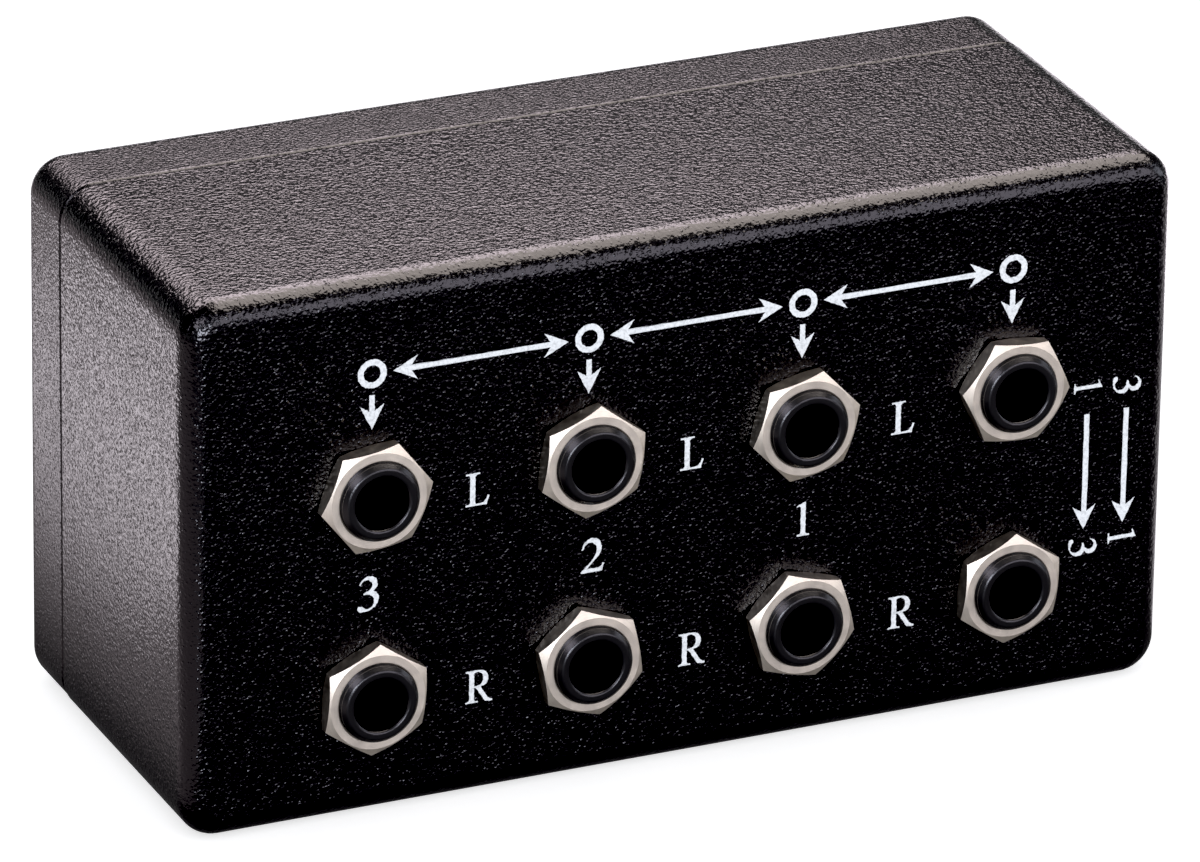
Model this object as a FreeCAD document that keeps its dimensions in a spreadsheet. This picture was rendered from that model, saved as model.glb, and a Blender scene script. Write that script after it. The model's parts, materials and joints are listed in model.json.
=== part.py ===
import FreeCAD, Part
import math
import os
import Sketcher

# A passive line level selector: a small black box with eight quarter inch jacks on its front and a
# three position switch with a knob on its lid. Front is -Y, the lid is at +Y and Z is up.
# The origin is the middle of the underside that the box stands on.

# Driving sizes in millimetres: name, value, meaning
SIZES = [
    ("case_width", 124.0, "outside width of the box"),
    ("case_height", 66.5, "outside height of the box as it stands"),
    ("case_depth", 50.5, "outside depth from jack face to lid face"),
    ("lid_depth", 12.0, "depth of the lid, seam to lid face"),
    ("corner_radius", 4.5, "radius of the four corners seen from the front"),
    ("front_round", 2.8, "rounding round the jack face"),
    ("lid_round", 3.2, "rounding round the lid face"),
    ("side_wall", 2.3, "thickness of the side walls"),
    ("face_wall", 2.5, "thickness of the jack face and of the lid face"),
    ("seam_gap", 0.4, "open line between shell and lid"),
    ("shell_rim_round", 0.25, "rounding of the shell's rim at the seam"),
    ("lid_rim_round", 0.45, "rounding of the lid's rim at the seam"),
    ("lid_step", 0.12, "how far the shell stands proud of the lid"),
    ("tongue_wall", 1.0, "thickness of the lid's tongue"),
    ("tongue_reach", 1.6, "how far the tongue goes into the shell"),
    ("tongue_play", 0.15, "play between tongue and rebate"),
    ("tongue_stop", 1.0, "room between the tongue's ends and the screw posts"),
    ("post_inset", 6.6, "screw axis to the outside of the box"),
    ("post_radius", 4.5, "radius of the screw posts"),
    ("screw_radius", 1.4, "radius of the lid screw's shank"),
    ("screw_length", 16.0, "length of the lid screw under its head"),
    ("screw_tip", 1.2, "length of the screw's tip"),
    ("screw_tip_radius", 0.4, "radius at the end of the screw's tip"),
    ("screw_play", 0.05, "play round the screw in its post"),
    ("screw_pass", 0.3, "play round the screw in the lid"),
    ("screw_head_radius", 2.8, "radius of the screw head"),
    ("cross_width", 0.7, "width of the cross recess"),
    ("cross_depth", 1.1, "depth of the cross recess"),
    ("screw_head_height", 1.8, "height of the screw head"),
    ("head_recess", 2.2, "depth of the recess for the screw head"),
    ("head_play", 0.3, "play round the screw head"),
    ("first_column", -39.3, "X of the jacks of column three"),
    ("column_pitch", 26.8, "distance from column to column"),
    ("first_row", 15.25, "height of the lower row of jacks"),
    ("row_pitch", 25.2, "distance from row to row"),
    ("nose_radius", 4.75, "radius of the jack's threaded nose"),
    ("nose_reach", 3.4, "how far the nose stands out of the jack face"),
    ("nose_edge", 0.5, "bevel at the nose's outer edge"),
    ("thread_pitch", 0.79, "distance from thread to thread on the nose"),
    ("thread_depth", 0.3, "depth of the thread"),
    ("thread_start", 0.1, "from the bevel to the first thread"),
    ("plug_bore", 3.25, "radius of the hole for the plug"),
    ("mouth_round", 0.4, "rounding of the two edges round the nose's end face"),
    ("nose_play", 0.1, "play round the nose in the jack face"),
    ("jack_width", 15.0, "width of the jack's body"),
    ("jack_height", 17.0, "height of the jack's body"),
    ("jack_front_wall", 3.0, "thickness of the body's front wall"),
    ("jack_side_wall", 2.0, "thickness of the body's side walls"),
    ("jack_foot", 0.8, "height of the feet that stand on the board"),
    ("foot_side", 1.8, "side of a foot"),
    ("nut_wall", 1.25, "thread to flat of a nut"),
    ("nut_height", 2.35, "thickness of a jack nut"),
    ("nut_play", 0.05, "play between nut and thread"),
    ("nut_bevel", 0.62, "depth of the bevel at the nut's corners"),
    ("nut_ring", 0.16, "how far the nut's round flat face stays inside its flats"),
    ("nut_edge", 0.15, "bevel at the ends of the nut's thread"),
    ("leaf", 0.4, "thickness of the spring leaves"),
    ("leaf_width", 4.0, "width of the tip and ring springs"),
    ("sleeve_width", 3.0, "width of the sleeve contact"),
    ("tip_bend", 12.5, "front bend of the tip spring behind the jack face"),
    ("tip_touch", 21.0, "where the tip spring touches the plug"),
    ("ring_bend", 6.0, "front bend of the ring spring"),
    ("ring_touch", 14.0, "where the ring spring touches the plug"),
    ("sleeve_bend", 4.0, "front bend of the sleeve contact"),
    ("sleeve_touch", 8.5, "where the sleeve contact touches the plug"),
    ("spring_tail", 3.0, "length of a spring beyond the touching place"),
    ("spring_rise", 1.5, "rise of the tail"),
    ("spring_slope", 2.2, "fall of a spring from its bend to the touching place"),
    ("fold_height", 0.3, "height of the fold's inner corner over its outer one"),
    ("shoulder_gap", 0.3, "gap between a spring's shoulder and the board"),
    ("jack_end_room", 3.2, "room behind the tip spring, up to the end of the jack's body"),
    ("touch_height", 2.6, "height of the springs' bumps over the plug's axis"),
    ("pin_width", 1.0, "width of the solder pins"),
    ("pin_reach", 0.9, "length of the pins behind the board"),
    ("board_thickness", 1.6, "thickness of the circuit board"),
    ("board_width", 98.0, "width of the circuit board"),
    ("board_height", 46.0, "height of the circuit board"),
    ("pin_hole", 0.7, "radius of the board's holes"),
    ("switch_radius", 11.5, "radius of the switch body"),
    ("switch_wall", 1.7, "side wall of the switch body"),
    ("switch_face", 2.0, "front wall of the switch body"),
    ("lug_inset", 1.5, "axis of the locating lug to the edge of the switch body"),
    ("lug_radius", 1.0, "radius of the locating lug"),
    ("lug_height", 1.6, "height of the locating lug"),
    ("lug_play", 0.15, "play round the lug and over its end"),
    ("stake_radius", 0.6, "radius of the pins that hold the wafer"),
    ("stake_play", 0.05, "play round those pins"),
    ("wafer_thickness", 2.1, "thickness of the contact wafer"),
    ("wafer_foot_height", 0.8, "height of the wafer's feet on the board"),
    ("wafer_foot_radius", 1.0, "radius of the wafer's feet"),
    ("wafer_foot_inset", 0.4, "edge of a foot to the edge of the wafer"),
    ("bush_radius", 4.75, "radius of the threaded bush"),
    ("bush_reach", 5.5, "how far the bush stands out of the lid"),
    ("bush_play", 0.1, "play round the bush in the lid, the washer and the stop ring"),
    ("bush_bevel", 0.5, "bevel at the bush's end"),
    ("shaft_radius", 3.0, "radius of the shaft"),
    ("shaft_reach", 13.0, "how far the shaft stands out of the lid"),
    ("shaft_play", 0.05, "running play of the shaft in the bush"),
    ("shaft_flat", 0.8, "depth of the flat on the shaft"),
    ("shaft_bevel", 0.4, "bevel at the shaft's end"),
    ("collar_radius", 4.4, "radius of the shaft's collar"),
    ("collar_height", 1.2, "height of the shaft's collar"),
    ("collar_proud", 0.2, "how far the collar stands out of the rotor"),
    ("rotor_floor", 0.6, "thickness of the rotor under the shaft and round it at the springs"),
    ("rotor_radius", 9.3, "radius of the rotor"),
    ("rotor_gap", 0.4, "gap between rotor and the body's front wall"),
    ("rotor_lift", 1.4, "gap between wafer and rotor, for the wipers"),
    ("detent_step", 30.0, "degrees from one position to the next"),
    ("ball_radius", 1.5, "radius of a detent ball"),
    ("ball_play", 0.1, "gap between ball and the body's wall"),
    ("ball_hole_play", 0.05, "play round a ball in its hole"),
    ("notch_play", 0.1, "how much rounder a notch is than the ball"),
    ("notch_depth", 0.4, "depth of the detent notches"),
    ("spring_wire", 0.18, "radius of the detent spring's wire"),
    ("coil_inset", 0.45, "middle of the spring's wire inside the ball's radius"),
    ("coil_seat", 0.02, "gap between the spring and the floor of its hole"),
    ("coil_reach", 0.05, "how far the coil goes past the back of the ball"),
    ("outer_circle", 8.0, "radius of the circle of contacts"),
    ("inner_circle", 4.6, "radius of the circle of common contacts"),
    ("head_radius", 0.9, "radius of a contact's head"),
    ("head_height", 0.4, "height of a contact's head"),
    ("common_width", 1.4, "width of a common contact's arc"),
    ("common_spare", 8.0, "degrees that the arc goes on past the last positions"),
    ("post_pin", 0.45, "radius of a switch terminal"),
    ("terminal_play", 0.05, "play round a terminal in the wafer"),
    ("wiper_play", 0.05, "gap between wiper and contact"),
    ("wiper_width", 1.6, "width of a wiper"),
    ("wiper_flat", 0.4, "half the length of the place where a wiper touches"),
    ("wiper_rise_run", 0.6, "length of the slope up to the wiper's bridge"),
    ("wiper_toe", 0.5, "length of the wiper's turned up toe"),
    ("wiper_toe_rise", 0.3, "rise of the toe"),
    ("stop_circle", 7.4, "radius at which the stop works"),
    ("stop_radius", 0.7, "radius of the stop pin"),
    ("stop_gap", 0.1, "gap between stop pin and slot at the last position"),
    ("stop_depth", 1.8, "depth of the stop slot in the rotor"),
    ("stop_end_gap", 0.4, "gap between the pin's end and the slot's floor"),
    ("stop_play", 0.1, "play round the stop pin and the stop ring in the body"),
    ("stop_ring_height", 0.5, "thickness of the stop ring"),
    ("stop_ring_rim", 1.0, "rim of the stop ring outside its pin's axis"),
    ("washer_height", 0.5, "thickness of the lock washer"),
    ("washer_radius", 7.0, "outside radius of the lock washer"),
    ("tooth_gap_radius", 0.7, "radius of the gaps between the washer's teeth"),
    ("tooth_gap_out", 0.2, "axis of those gaps outside the rim"),
    ("switch_nut_height", 2.2, "thickness of the nut on the bush"),
    ("knob_radius", 11.0, "radius of the knob's skirt"),
    ("knob_top_radius", 9.9, "radius of the knob's top"),
    ("knob_height", 14.0, "height of the knob"),
    ("knob_gap", 0.8, "gap between knob and lid"),
    ("knob_recess", 5.9, "depth of the hollow under the knob"),
    ("knob_recess_radius", 8.0, "radius of the hollow under the knob"),
    ("knob_play", 0.03, "play between knob and shaft"),
    ("knob_roof_gap", 0.3, "gap over the shaft's end in the knob"),
    ("knob_bevel", 0.8, "bevel at the knob's top"),
    ("skirt_height", 2.0, "height of the knob's skirt"),
    ("skirt_step", 0.5, "slope from the skirt to the grip"),
    ("skirt_bevel", 0.3, "bevel at the foot of the skirt"),
    ("flute_radius", 1.2, "radius of the grooves round the knob"),
    ("flute_out", 0.42, "axis of a groove outside the skirt"),
    ("index_start", 2.0, "inner end of the index line to the knob's axis"),
    ("index_width", 1.1, "width of the white index line"),
    ("index_depth", 0.6, "depth of the white index line"),
    ("grub_radius", 1.5, "radius of the grub screw"),
    ("grub_length", 6.0, "length of the grub screw"),
    ("grub_play", 0.02, "play round the grub screw"),
    ("socket_radius", 0.75, "radius to the corners of the grub screw's socket"),
    ("socket_depth", 1.8, "depth of that socket"),
]

COLUMNS = ["3", "2", "1", "common"]
ROWS = ["right", "left"]

# How far each nut was turned when it was tightened, in degrees, row by row
NUT_TURNS = {
    ("3", "left"): 8.0,
    ("2", "left"): 22.8,
    ("1", "left"): 13.4,
    ("common", "left"): 55.2,
    ("3", "right"): 25.7,
    ("2", "right"): 40.5,
    ("1", "right"): 45.7,
    ("common", "right"): 24.8,
}

SWITCH_NUT_TURN = 15.0

# Side view of a pan head from its top to its rim, in shares of its radius and height
PAN_HEAD = [(0.62, 1.0), (0.9, 0.72), (1.0, 0.35)]

# Where a thread's groove reaches its floor, leaves it and ends, in shares of the pitch
THREAD_GROOVE = (0.35, 0.45, 0.8)

WAFER_FEET = (45, 165, 285)
FLUTES = 20
POLES = 4
POSITIONS = 3
WASHER_TEETH = 10
SPRING_TURNS = 5
THREAD_RINGS = 6

# How far a cutting shape reaches past a face, or a pin into the piece that it grows from
SPARE = 0.5

# A cut or pad that changes less than this many cubic millimetres has missed the piece
LEAST_CHANGE = 0.01

doc = FreeCAD.newDocument("line_level_selector")
sheet = doc.addObject("Spreadsheet::Sheet", "Sizes")
for row, (alias, value, meaning) in enumerate(SIZES, start=1):
    sheet.set(f"A{row}", meaning)
    sheet.set(f"B{row}", str(value))
    sheet.setAlias(f"B{row}", alias)
doc.recompute()


class Size:
    """A number together with the sheet formula that gives it."""

    def __init__(self, value, text):
        self.value = float(value)
        self.text = text

    def __add__(self, other):
        other = as_size(other)
        return Size(self.value + other.value, f"({self.text} + {other.text})")

    def __sub__(self, other):
        other = as_size(other)
        return Size(self.value - other.value, f"({self.text} - {other.text})")

    def __mul__(self, other):
        other = as_size(other)
        return Size(self.value * other.value, f"({self.text} * {other.text})")

    def __truediv__(self, other):
        other = as_size(other)
        return Size(self.value / other.value, f"({self.text} / {other.text})")

    def __neg__(self):
        return Size(-self.value, f"(0 - {self.text})")

    __radd__ = __add__


def as_size(number):
    if isinstance(number, Size):
        return number
    text = f"{float(number):.9f}"
    return Size(number, f"({text})" if number < 0 else text)


def size(alias):
    return Size(sheet.get(alias), f"Sizes.{alias}")


def bind(thing, prop, amount):
    """Ties a property to the sheet."""
    thing.setExpression(prop, as_size(amount).text)


# Levels along Y, measured from the jack face, and places shared by several pieces
wall_inside = size("face_wall")
jack_length = size("tip_touch") + size("spring_tail") + size("jack_end_room")
jack_back = wall_inside + jack_length
board_front = jack_back + size("jack_foot")
board_back = board_front + size("board_thickness")
lid_inside = size("case_depth") - size("face_wall")
seam = size("case_depth") - size("lid_depth")
shell_rim = seam - size("seam_gap") / 2
lid_rim = seam + size("seam_gap") / 2
front_y = -(size("case_depth") / 2)
switch_z = size("case_height") / 2
post_x = size("case_width") / 2 - size("post_inset")
post_low = size("post_inset")
post_high = size("case_height") - size("post_inset")
cavity_width = size("jack_width") - size("jack_side_wall") * 2
cavity_height = size("jack_height") - size("jack_side_wall") * 2

# Levels along the switch, measured from the inside of the lid face, negative into the box
wafer_foot = board_back - lid_inside
wafer_bottom = wafer_foot + size("wafer_foot_height")
wafer_top = wafer_bottom + size("wafer_thickness")
rotor_top = -(size("switch_face") + size("rotor_gap"))
rotor_bottom = wafer_top + size("rotor_lift")
detent_level = (rotor_top + rotor_bottom) / 2
collar_seat = rotor_top - size("collar_height") + size("collar_proud")
shaft_foot = rotor_bottom + size("rotor_floor")
lid_outside = size("face_wall")
pin_end = board_front - lid_inside
knob_bottom = lid_outside + size("knob_gap")
knob_top = knob_bottom + size("knob_height")
shaft_end = lid_outside + size("shaft_reach")

# Distances from the switch's axis
switch_inside = size("switch_radius") - size("switch_wall")
stake_circle = (size("switch_radius") + switch_inside) / 2
lug_circle = size("switch_radius") - size("lug_inset")
ball_hole_floor = size("shaft_radius") + size("rotor_floor")
on_bush = size("bush_radius") + size("bush_play")
ring_rim = size("stop_circle") + size("stop_ring_rim")
index_length = size("knob_top_radius") - size("knob_bevel") - size("index_start")


def new_body(label, x=0.0, y=0.0, z=0.0, turn=0.0):
    """A body whose own origin lies at x, y behind the jack face and height z."""
    body = doc.addObject("PartDesign::Body", label)
    body.Label = label
    body.AllowCompound = True
    spot = [as_size(x), front_y + y, as_size(z)]
    body.Placement = FreeCAD.Placement(
        FreeCAD.Vector(*[s.value for s in spot]),
        FreeCAD.Rotation(FreeCAD.Vector(0, 1, 0), turn),
    )
    for axis, place in zip("xyz", spot):
        bind(body, f"Placement.Base.{axis}", place)
    return body


def origin_part(body, role):
    for feature in body.Origin.OriginFeatures:
        if feature.Role == role:
            return feature
    raise ValueError(f"no {role} in {body.Label}")


def new_sketch(body, name, plane, level=0.0):
    """A sketch on one of the body's planes, moved along that plane's world axis by level."""
    sketch = body.newObject("Sketcher::SketchObject", name)
    sketch.AttachmentSupport = (origin_part(body, f"{plane}_Plane"), [""])
    sketch.MapMode = "FlatFace"
    offset = -as_size(level) if plane == "XZ" else as_size(level)
    sketch.AttachmentOffset = FreeCAD.Placement(
        FreeCAD.Vector(0, 0, offset.value), FreeCAD.Rotation()
    )
    bind(sketch, "AttachmentOffset.Base.z", offset)
    return sketch


def name_last(sketch, text):
    """Names the newest constraint and ties it to the sheet."""
    index = sketch.ConstraintCount - 1
    name = f"size{index}"
    sketch.renameConstraint(index, name)
    sketch.setExpression(f"Constraints.{name}", text)


def tie_point(sketch, curve, end, across, up):
    """Holds a curve's point at two sheet sizes from the sketch's origin."""
    for kind, amount, axis in (("DistanceX", across, -2), ("DistanceY", up, -1)):
        amount = as_size(amount)
        if abs(amount.value) < 1e-9:
            sketch.addConstraint(Sketcher.Constraint("PointOnObject", curve, end, axis))
            continue
        sketch.addConstraint(Sketcher.Constraint(kind, -1, 1, curve, end, amount.value))
        name_last(sketch, amount.text)


def outline(body, name, plane, points, level=0.0):
    """A closed sketch with straight sides."""
    sketch = new_sketch(body, name, plane, level)
    spots = [FreeCAD.Vector(as_size(a).value, as_size(b).value, 0) for a, b in points]
    count = len(spots)
    for i in range(count):
        sketch.addGeometry(Part.LineSegment(spots[i], spots[(i + 1) % count]), False)
    for i in range(count):
        sketch.addConstraint(Sketcher.Constraint("Coincident", i, 2, (i + 1) % count, 1))
    for i, (across, up) in enumerate(points):
        tie_point(sketch, i, 1, across, up)
    return sketch


def rectangle(body, name, plane, width, height, level=0.0, across=0.0, up=0.0):
    """A rectangle round a middle point."""
    half, tall = as_size(width) / 2, as_size(height) / 2
    across, up = as_size(across), as_size(up)
    corners = [
        (across - half, up - tall),
        (across + half, up - tall),
        (across + half, up + tall),
        (across - half, up + tall),
    ]
    return outline(body, name, plane, corners, level)


def circles(body, name, plane, spots, radius, level=0.0):
    """Equal circles in one sketch."""
    sketch = new_sketch(body, name, plane, level)
    radius = as_size(radius)
    for across, up in spots:
        middle = FreeCAD.Vector(as_size(across).value, as_size(up).value, 0)
        curve = sketch.addGeometry(
            Part.Circle(middle, FreeCAD.Vector(0, 0, 1), radius.value), False
        )
        sketch.addConstraint(Sketcher.Constraint("Radius", curve, radius.value))
        name_last(sketch, radius.text)
        tie_point(sketch, curve, 3, across, up)
    return sketch


def rounded(body, name, width, height, radius, level, up):
    """A rectangle with round corners on the XZ plane, its middle at height up."""
    sketch = new_sketch(body, name, "XZ", level)
    width, height = as_size(width), as_size(height)
    radius, up = as_size(radius), as_size(up)
    quarter = math.pi / 2
    centres = []
    for side, rise, start in ((1, 1, 0), (-1, 1, 1), (-1, -1, 2), (1, -1, 3)):
        across = (width / 2 - radius) * side
        height_at = up + (height / 2 - radius) * rise
        centres.append((across, height_at))
        middle = FreeCAD.Vector(across.value, height_at.value, 0)
        circle = Part.Circle(middle, FreeCAD.Vector(0, 0, 1), radius.value)
        arc = Part.ArcOfCircle(circle, start * quarter, (start + 1) * quarter)
        sketch.addGeometry(arc, False)
    arcs = [sketch.Geometry[i] for i in range(4)]
    for i in range(4):
        sketch.addGeometry(Part.LineSegment(arcs[i].EndPoint, arcs[(i + 1) % 4].StartPoint), False)
    for i in range(4):
        sketch.addConstraint(Sketcher.Constraint("Tangent", i, 2, 4 + i, 1))
        sketch.addConstraint(Sketcher.Constraint("Tangent", 4 + i, 2, (i + 1) % 4, 1))
    for i, (across, height_at) in enumerate(centres):
        tie_point(sketch, i, 3, across, height_at)
        sketch.addConstraint(Sketcher.Constraint("Radius", i, radius.value))
        name_last(sketch, radius.text)
    return sketch


def extrude(body, kind, name, sketch, length, flip=False, both=False):
    """A pad or pocket. Unflipped, it leaves the sketch towards +Y, +Z or +X."""
    feature = body.newObject(f"PartDesign::{kind}", name)
    feature.Profile = sketch
    bind(feature, "Length", length)
    along_y = sketch.AttachmentSupport[0][0].Role == "XZ_Plane"
    feature.Reversed = (along_y != flip) if kind == "Pad" else (along_y == flip)
    feature.Midplane = both
    sketch.Visibility = False
    body.Tip = feature
    return feature


def pad(body, name, sketch, length, flip=False, both=False):
    return extrude(body, "Pad", name, sketch, length, flip, both)


def pocket(body, name, sketch, length, flip=False, both=False):
    return extrude(body, "Pocket", name, sketch, length, flip, both)


def turned(body, kind, name, points, angle=360.0, plane="XY"):
    """A revolution or groove about the body's Y axis, from points of radius and level."""
    if plane == "YZ":
        points = [(level, radius) for radius, level in points]
    sketch = outline(body, f"{name}_profile", plane, points)
    feature = body.newObject(f"PartDesign::{kind}", name)
    feature.Profile = sketch
    feature.ReferenceAxis = (sketch, ["V_Axis" if plane == "XY" else "H_Axis"])
    angle = as_size(angle)
    feature.Angle = angle.value
    if angle.value < 360:
        bind(feature, "Angle", angle)
        feature.Midplane = True
    sketch.Visibility = False
    body.Tip = feature
    return feature


def polar(body, name, feature, count, angle=360.0):
    """Repeats a feature about the body's Y axis."""
    pattern = body.newObject("PartDesign::PolarPattern", name)
    pattern.Originals = [feature]
    pattern.Axis = (origin_part(body, "Y_Axis"), [""])
    pattern.Angle = angle
    pattern.Occurrences = count
    body.Tip = pattern
    return pattern


def row_of_two(body, name, feature, axis, length):
    """Repeats a feature once, a length away along one of the body's axes."""
    pattern = body.newObject("PartDesign::LinearPattern", name)
    pattern.Originals = [feature]
    pattern.Direction = (origin_part(body, f"{axis}_Axis"), [""])
    pattern.Occurrences = 2
    bind(pattern, "Length", length)
    body.Tip = pattern
    return pattern


def grid_of_four(body, name, features, across, up):
    """Repeats features at the four corners of a rectangle."""
    grid = body.newObject("PartDesign::MultiTransform", name)
    steps = []
    for axis, length in (("X", across), ("Z", up)):
        step = body.newObject("PartDesign::LinearPattern", f"{name}_along_{axis}")
        step.Direction = (origin_part(body, f"{axis}_Axis"), [""])
        step.Occurrences = 2
        bind(step, "Length", length)
        steps.append(step)
    grid.Originals = features
    grid.Transformations = steps
    body.Tip = grid
    return grid


def face_edges(feature, level):
    """Names of the edges that lie in the plane y = level of a finished feature."""
    names = []
    for number, edge in enumerate(feature.Shape.Edges, start=1):
        box = edge.BoundBox
        if abs(box.YMin - level) < 1e-4 and abs(box.YMax - level) < 1e-4:
            names.append(f"Edge{number}")
    return names


def round_edges(body, name, base, level, radius):
    """Rounds every edge in one plane across Y."""
    doc.recompute()
    fillet = body.newObject("PartDesign::Fillet", name)
    fillet.Base = (base, face_edges(base, level))
    bind(fillet, "Radius", radius)
    body.Tip = fillet
    return fillet


def corner_posts():
    return [(post_x * side, height) for side in (-1, 1) for height in (post_low, post_high)]


def jack_places():
    """Column name, row name, X and height of each jack."""
    for c, column in enumerate(COLUMNS):
        for r, line in enumerate(ROWS):
            across = size("first_column") + size("column_pitch") * c
            height = size("first_row") + size("row_pitch") * r
            yield column, line, across, height


def case_shell():
    """The deep half of the box: jack face, four walls, screw posts and eight jack holes."""
    body = new_body("case_shell")
    width, height = size("case_width"), size("case_height")
    wall, mid = size("side_wall"), size("case_height") / 2
    block = pad(
        body,
        "shell_block",
        rounded(body, "shell_outline", width, height, size("corner_radius"), 0, mid),
        shell_rim,
    )
    faced = round_edges(body, "shell_front_round", block, 0, size("front_round"))
    round_edges(body, "shell_rim_round", faced, shell_rim.value, size("shell_rim_round"))
    inner_round = size("corner_radius") - wall
    pocket(
        body,
        "shell_hollow",
        rounded(
            body, "shell_inside", width - wall * 2, height - wall * 2, inner_round, wall_inside, mid
        ),
        shell_rim - wall_inside,
    )
    margin = size("lid_step") + wall - size("tongue_wall") - size("tongue_play")
    pocket(
        body,
        "shell_rebate",
        rounded(
            body,
            "rebate_outline",
            width - margin * 2,
            height - margin * 2,
            size("corner_radius") - margin,
            shell_rim,
            mid,
        ),
        size("tongue_reach") + size("tongue_play"),
        flip=True,
    )
    pad(
        body,
        "shell_posts",
        circles(body, "post_circles", "XZ", corner_posts(), size("post_radius"), wall_inside),
        seam - wall_inside,
    )
    pocket(
        body,
        "screw_holes",
        circles(
            body,
            "hole_circles",
            "XZ",
            corner_posts(),
            size("screw_radius") + size("screw_play"),
            seam,
        ),
        size("screw_length"),
        flip=True,
    )
    spots = [(across, height_at) for _, _, across, height_at in jack_places()]
    pocket(
        body,
        "jack_holes",
        circles(body, "jack_circles", "XZ", spots, size("nose_radius") + size("nose_play"), 0),
        wall_inside + SPARE,
    )
    return body


def case_lid():
    """The shallow half: lid face, tongue, screw posts and the hole for the switch's bush."""
    body = new_body("case_lid")
    step, wall = size("lid_step"), size("side_wall")
    width = size("case_width") - step * 2
    height = size("case_height") - step * 2
    mid = size("case_height") / 2
    radius = size("corner_radius") - step
    tongue, tongue_end = size("tongue_wall"), shell_rim - size("tongue_reach")
    block = pad(
        body,
        "lid_block",
        rounded(body, "lid_outline", width, height, radius, lid_rim, mid),
        size("case_depth") - lid_rim,
    )
    backed = round_edges(
        body, "lid_back_round", block, size("case_depth").value, size("lid_round")
    )
    round_edges(body, "lid_rim_round", backed, lid_rim.value, size("lid_rim_round"))
    inner_width, inner_height = width - wall * 2, height - wall * 2
    pad(
        body,
        "lid_tongue",
        rounded(
            body,
            "tongue_outline",
            inner_width + tongue * 2,
            inner_height + tongue * 2,
            radius - wall + tongue,
            tongue_end,
            mid,
        ),
        lid_rim - tongue_end,
    )
    pocket(
        body,
        "lid_hollow",
        rounded(body, "lid_inside", inner_width, inner_height, radius - wall, tongue_end, mid),
        lid_inside - tongue_end,
    )
    corner = size("post_inset") + size("post_radius") + size("tongue_stop")
    for side in (-1, 1):
        for rise, middle in ((0, corner / 2), (1, size("case_height") - corner / 2)):
            name = f"tongue_gap_{'left' if side < 0 else 'right'}_{rise}"
            across = (size("case_width") / 2 - corner / 2) * side
            start = tongue_end - SPARE
            square = rectangle(
                body, f"{name}_square", "XZ", corner, corner, start, across, middle
            )
            pocket(body, name, square, lid_rim - start)
    pad(
        body,
        "lid_posts",
        circles(body, "post_circles", "XZ", corner_posts(), size("post_radius"), seam),
        lid_inside - seam + SPARE,
    )
    pocket(
        body,
        "screw_holes",
        circles(
            body,
            "hole_circles",
            "XZ",
            corner_posts(),
            size("screw_radius") + size("screw_pass"),
            seam,
        ),
        size("lid_depth"),
    )
    pocket(
        body,
        "head_recesses",
        circles(
            body,
            "recess_circles",
            "XZ",
            corner_posts(),
            size("screw_head_radius") + size("head_play"),
            size("case_depth"),
        ),
        size("head_recess"),
        flip=True,
    )
    pocket(
        body,
        "bush_hole",
        circles(body, "bush_circle", "XZ", [(0, switch_z)], on_bush, lid_inside),
        size("face_wall"),
    )
    pocket(
        body,
        "lug_hole",
        circles(
            body,
            "lug_circle",
            "XZ",
            [(0, switch_z - lug_circle)],
            size("lug_radius") + size("lug_play"),
            lid_inside,
        ),
        size("lug_height") + size("lug_play"),
    )
    return body


def lid_screws():
    """Four equal pan head screws with a cross recess."""
    body = new_body("lid_screws", -post_x, size("case_depth") - size("head_recess"), post_low)
    head, rise = size("screw_head_radius"), size("screw_head_height")
    shank, length = size("screw_radius"), size("screw_length")
    points = [(0, rise)]
    points += [(head * across, rise * up) for across, up in PAN_HEAD]
    points += [
        (head, 0),
        (shank, 0),
        (shank, size("screw_tip") - length),
        (size("screw_tip_radius"), -length),
        (0, -length),
    ]
    screw = turned(body, "Revolution", "screw", points)
    width, deep = size("cross_width"), size("cross_depth")
    arm = rectangle(body, "recess_arm", "XZ", head, width, rise)
    slot = pocket(body, "cross_arm", arm, deep, flip=True)
    upright = rectangle(body, "recess_upright", "XZ", width, head, rise)
    cross = pocket(body, "cross_upright", upright, deep, flip=True)
    grid_of_four(body, "screws", [screw, slot, cross], post_x * 2, post_high - post_low)
    return body


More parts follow.
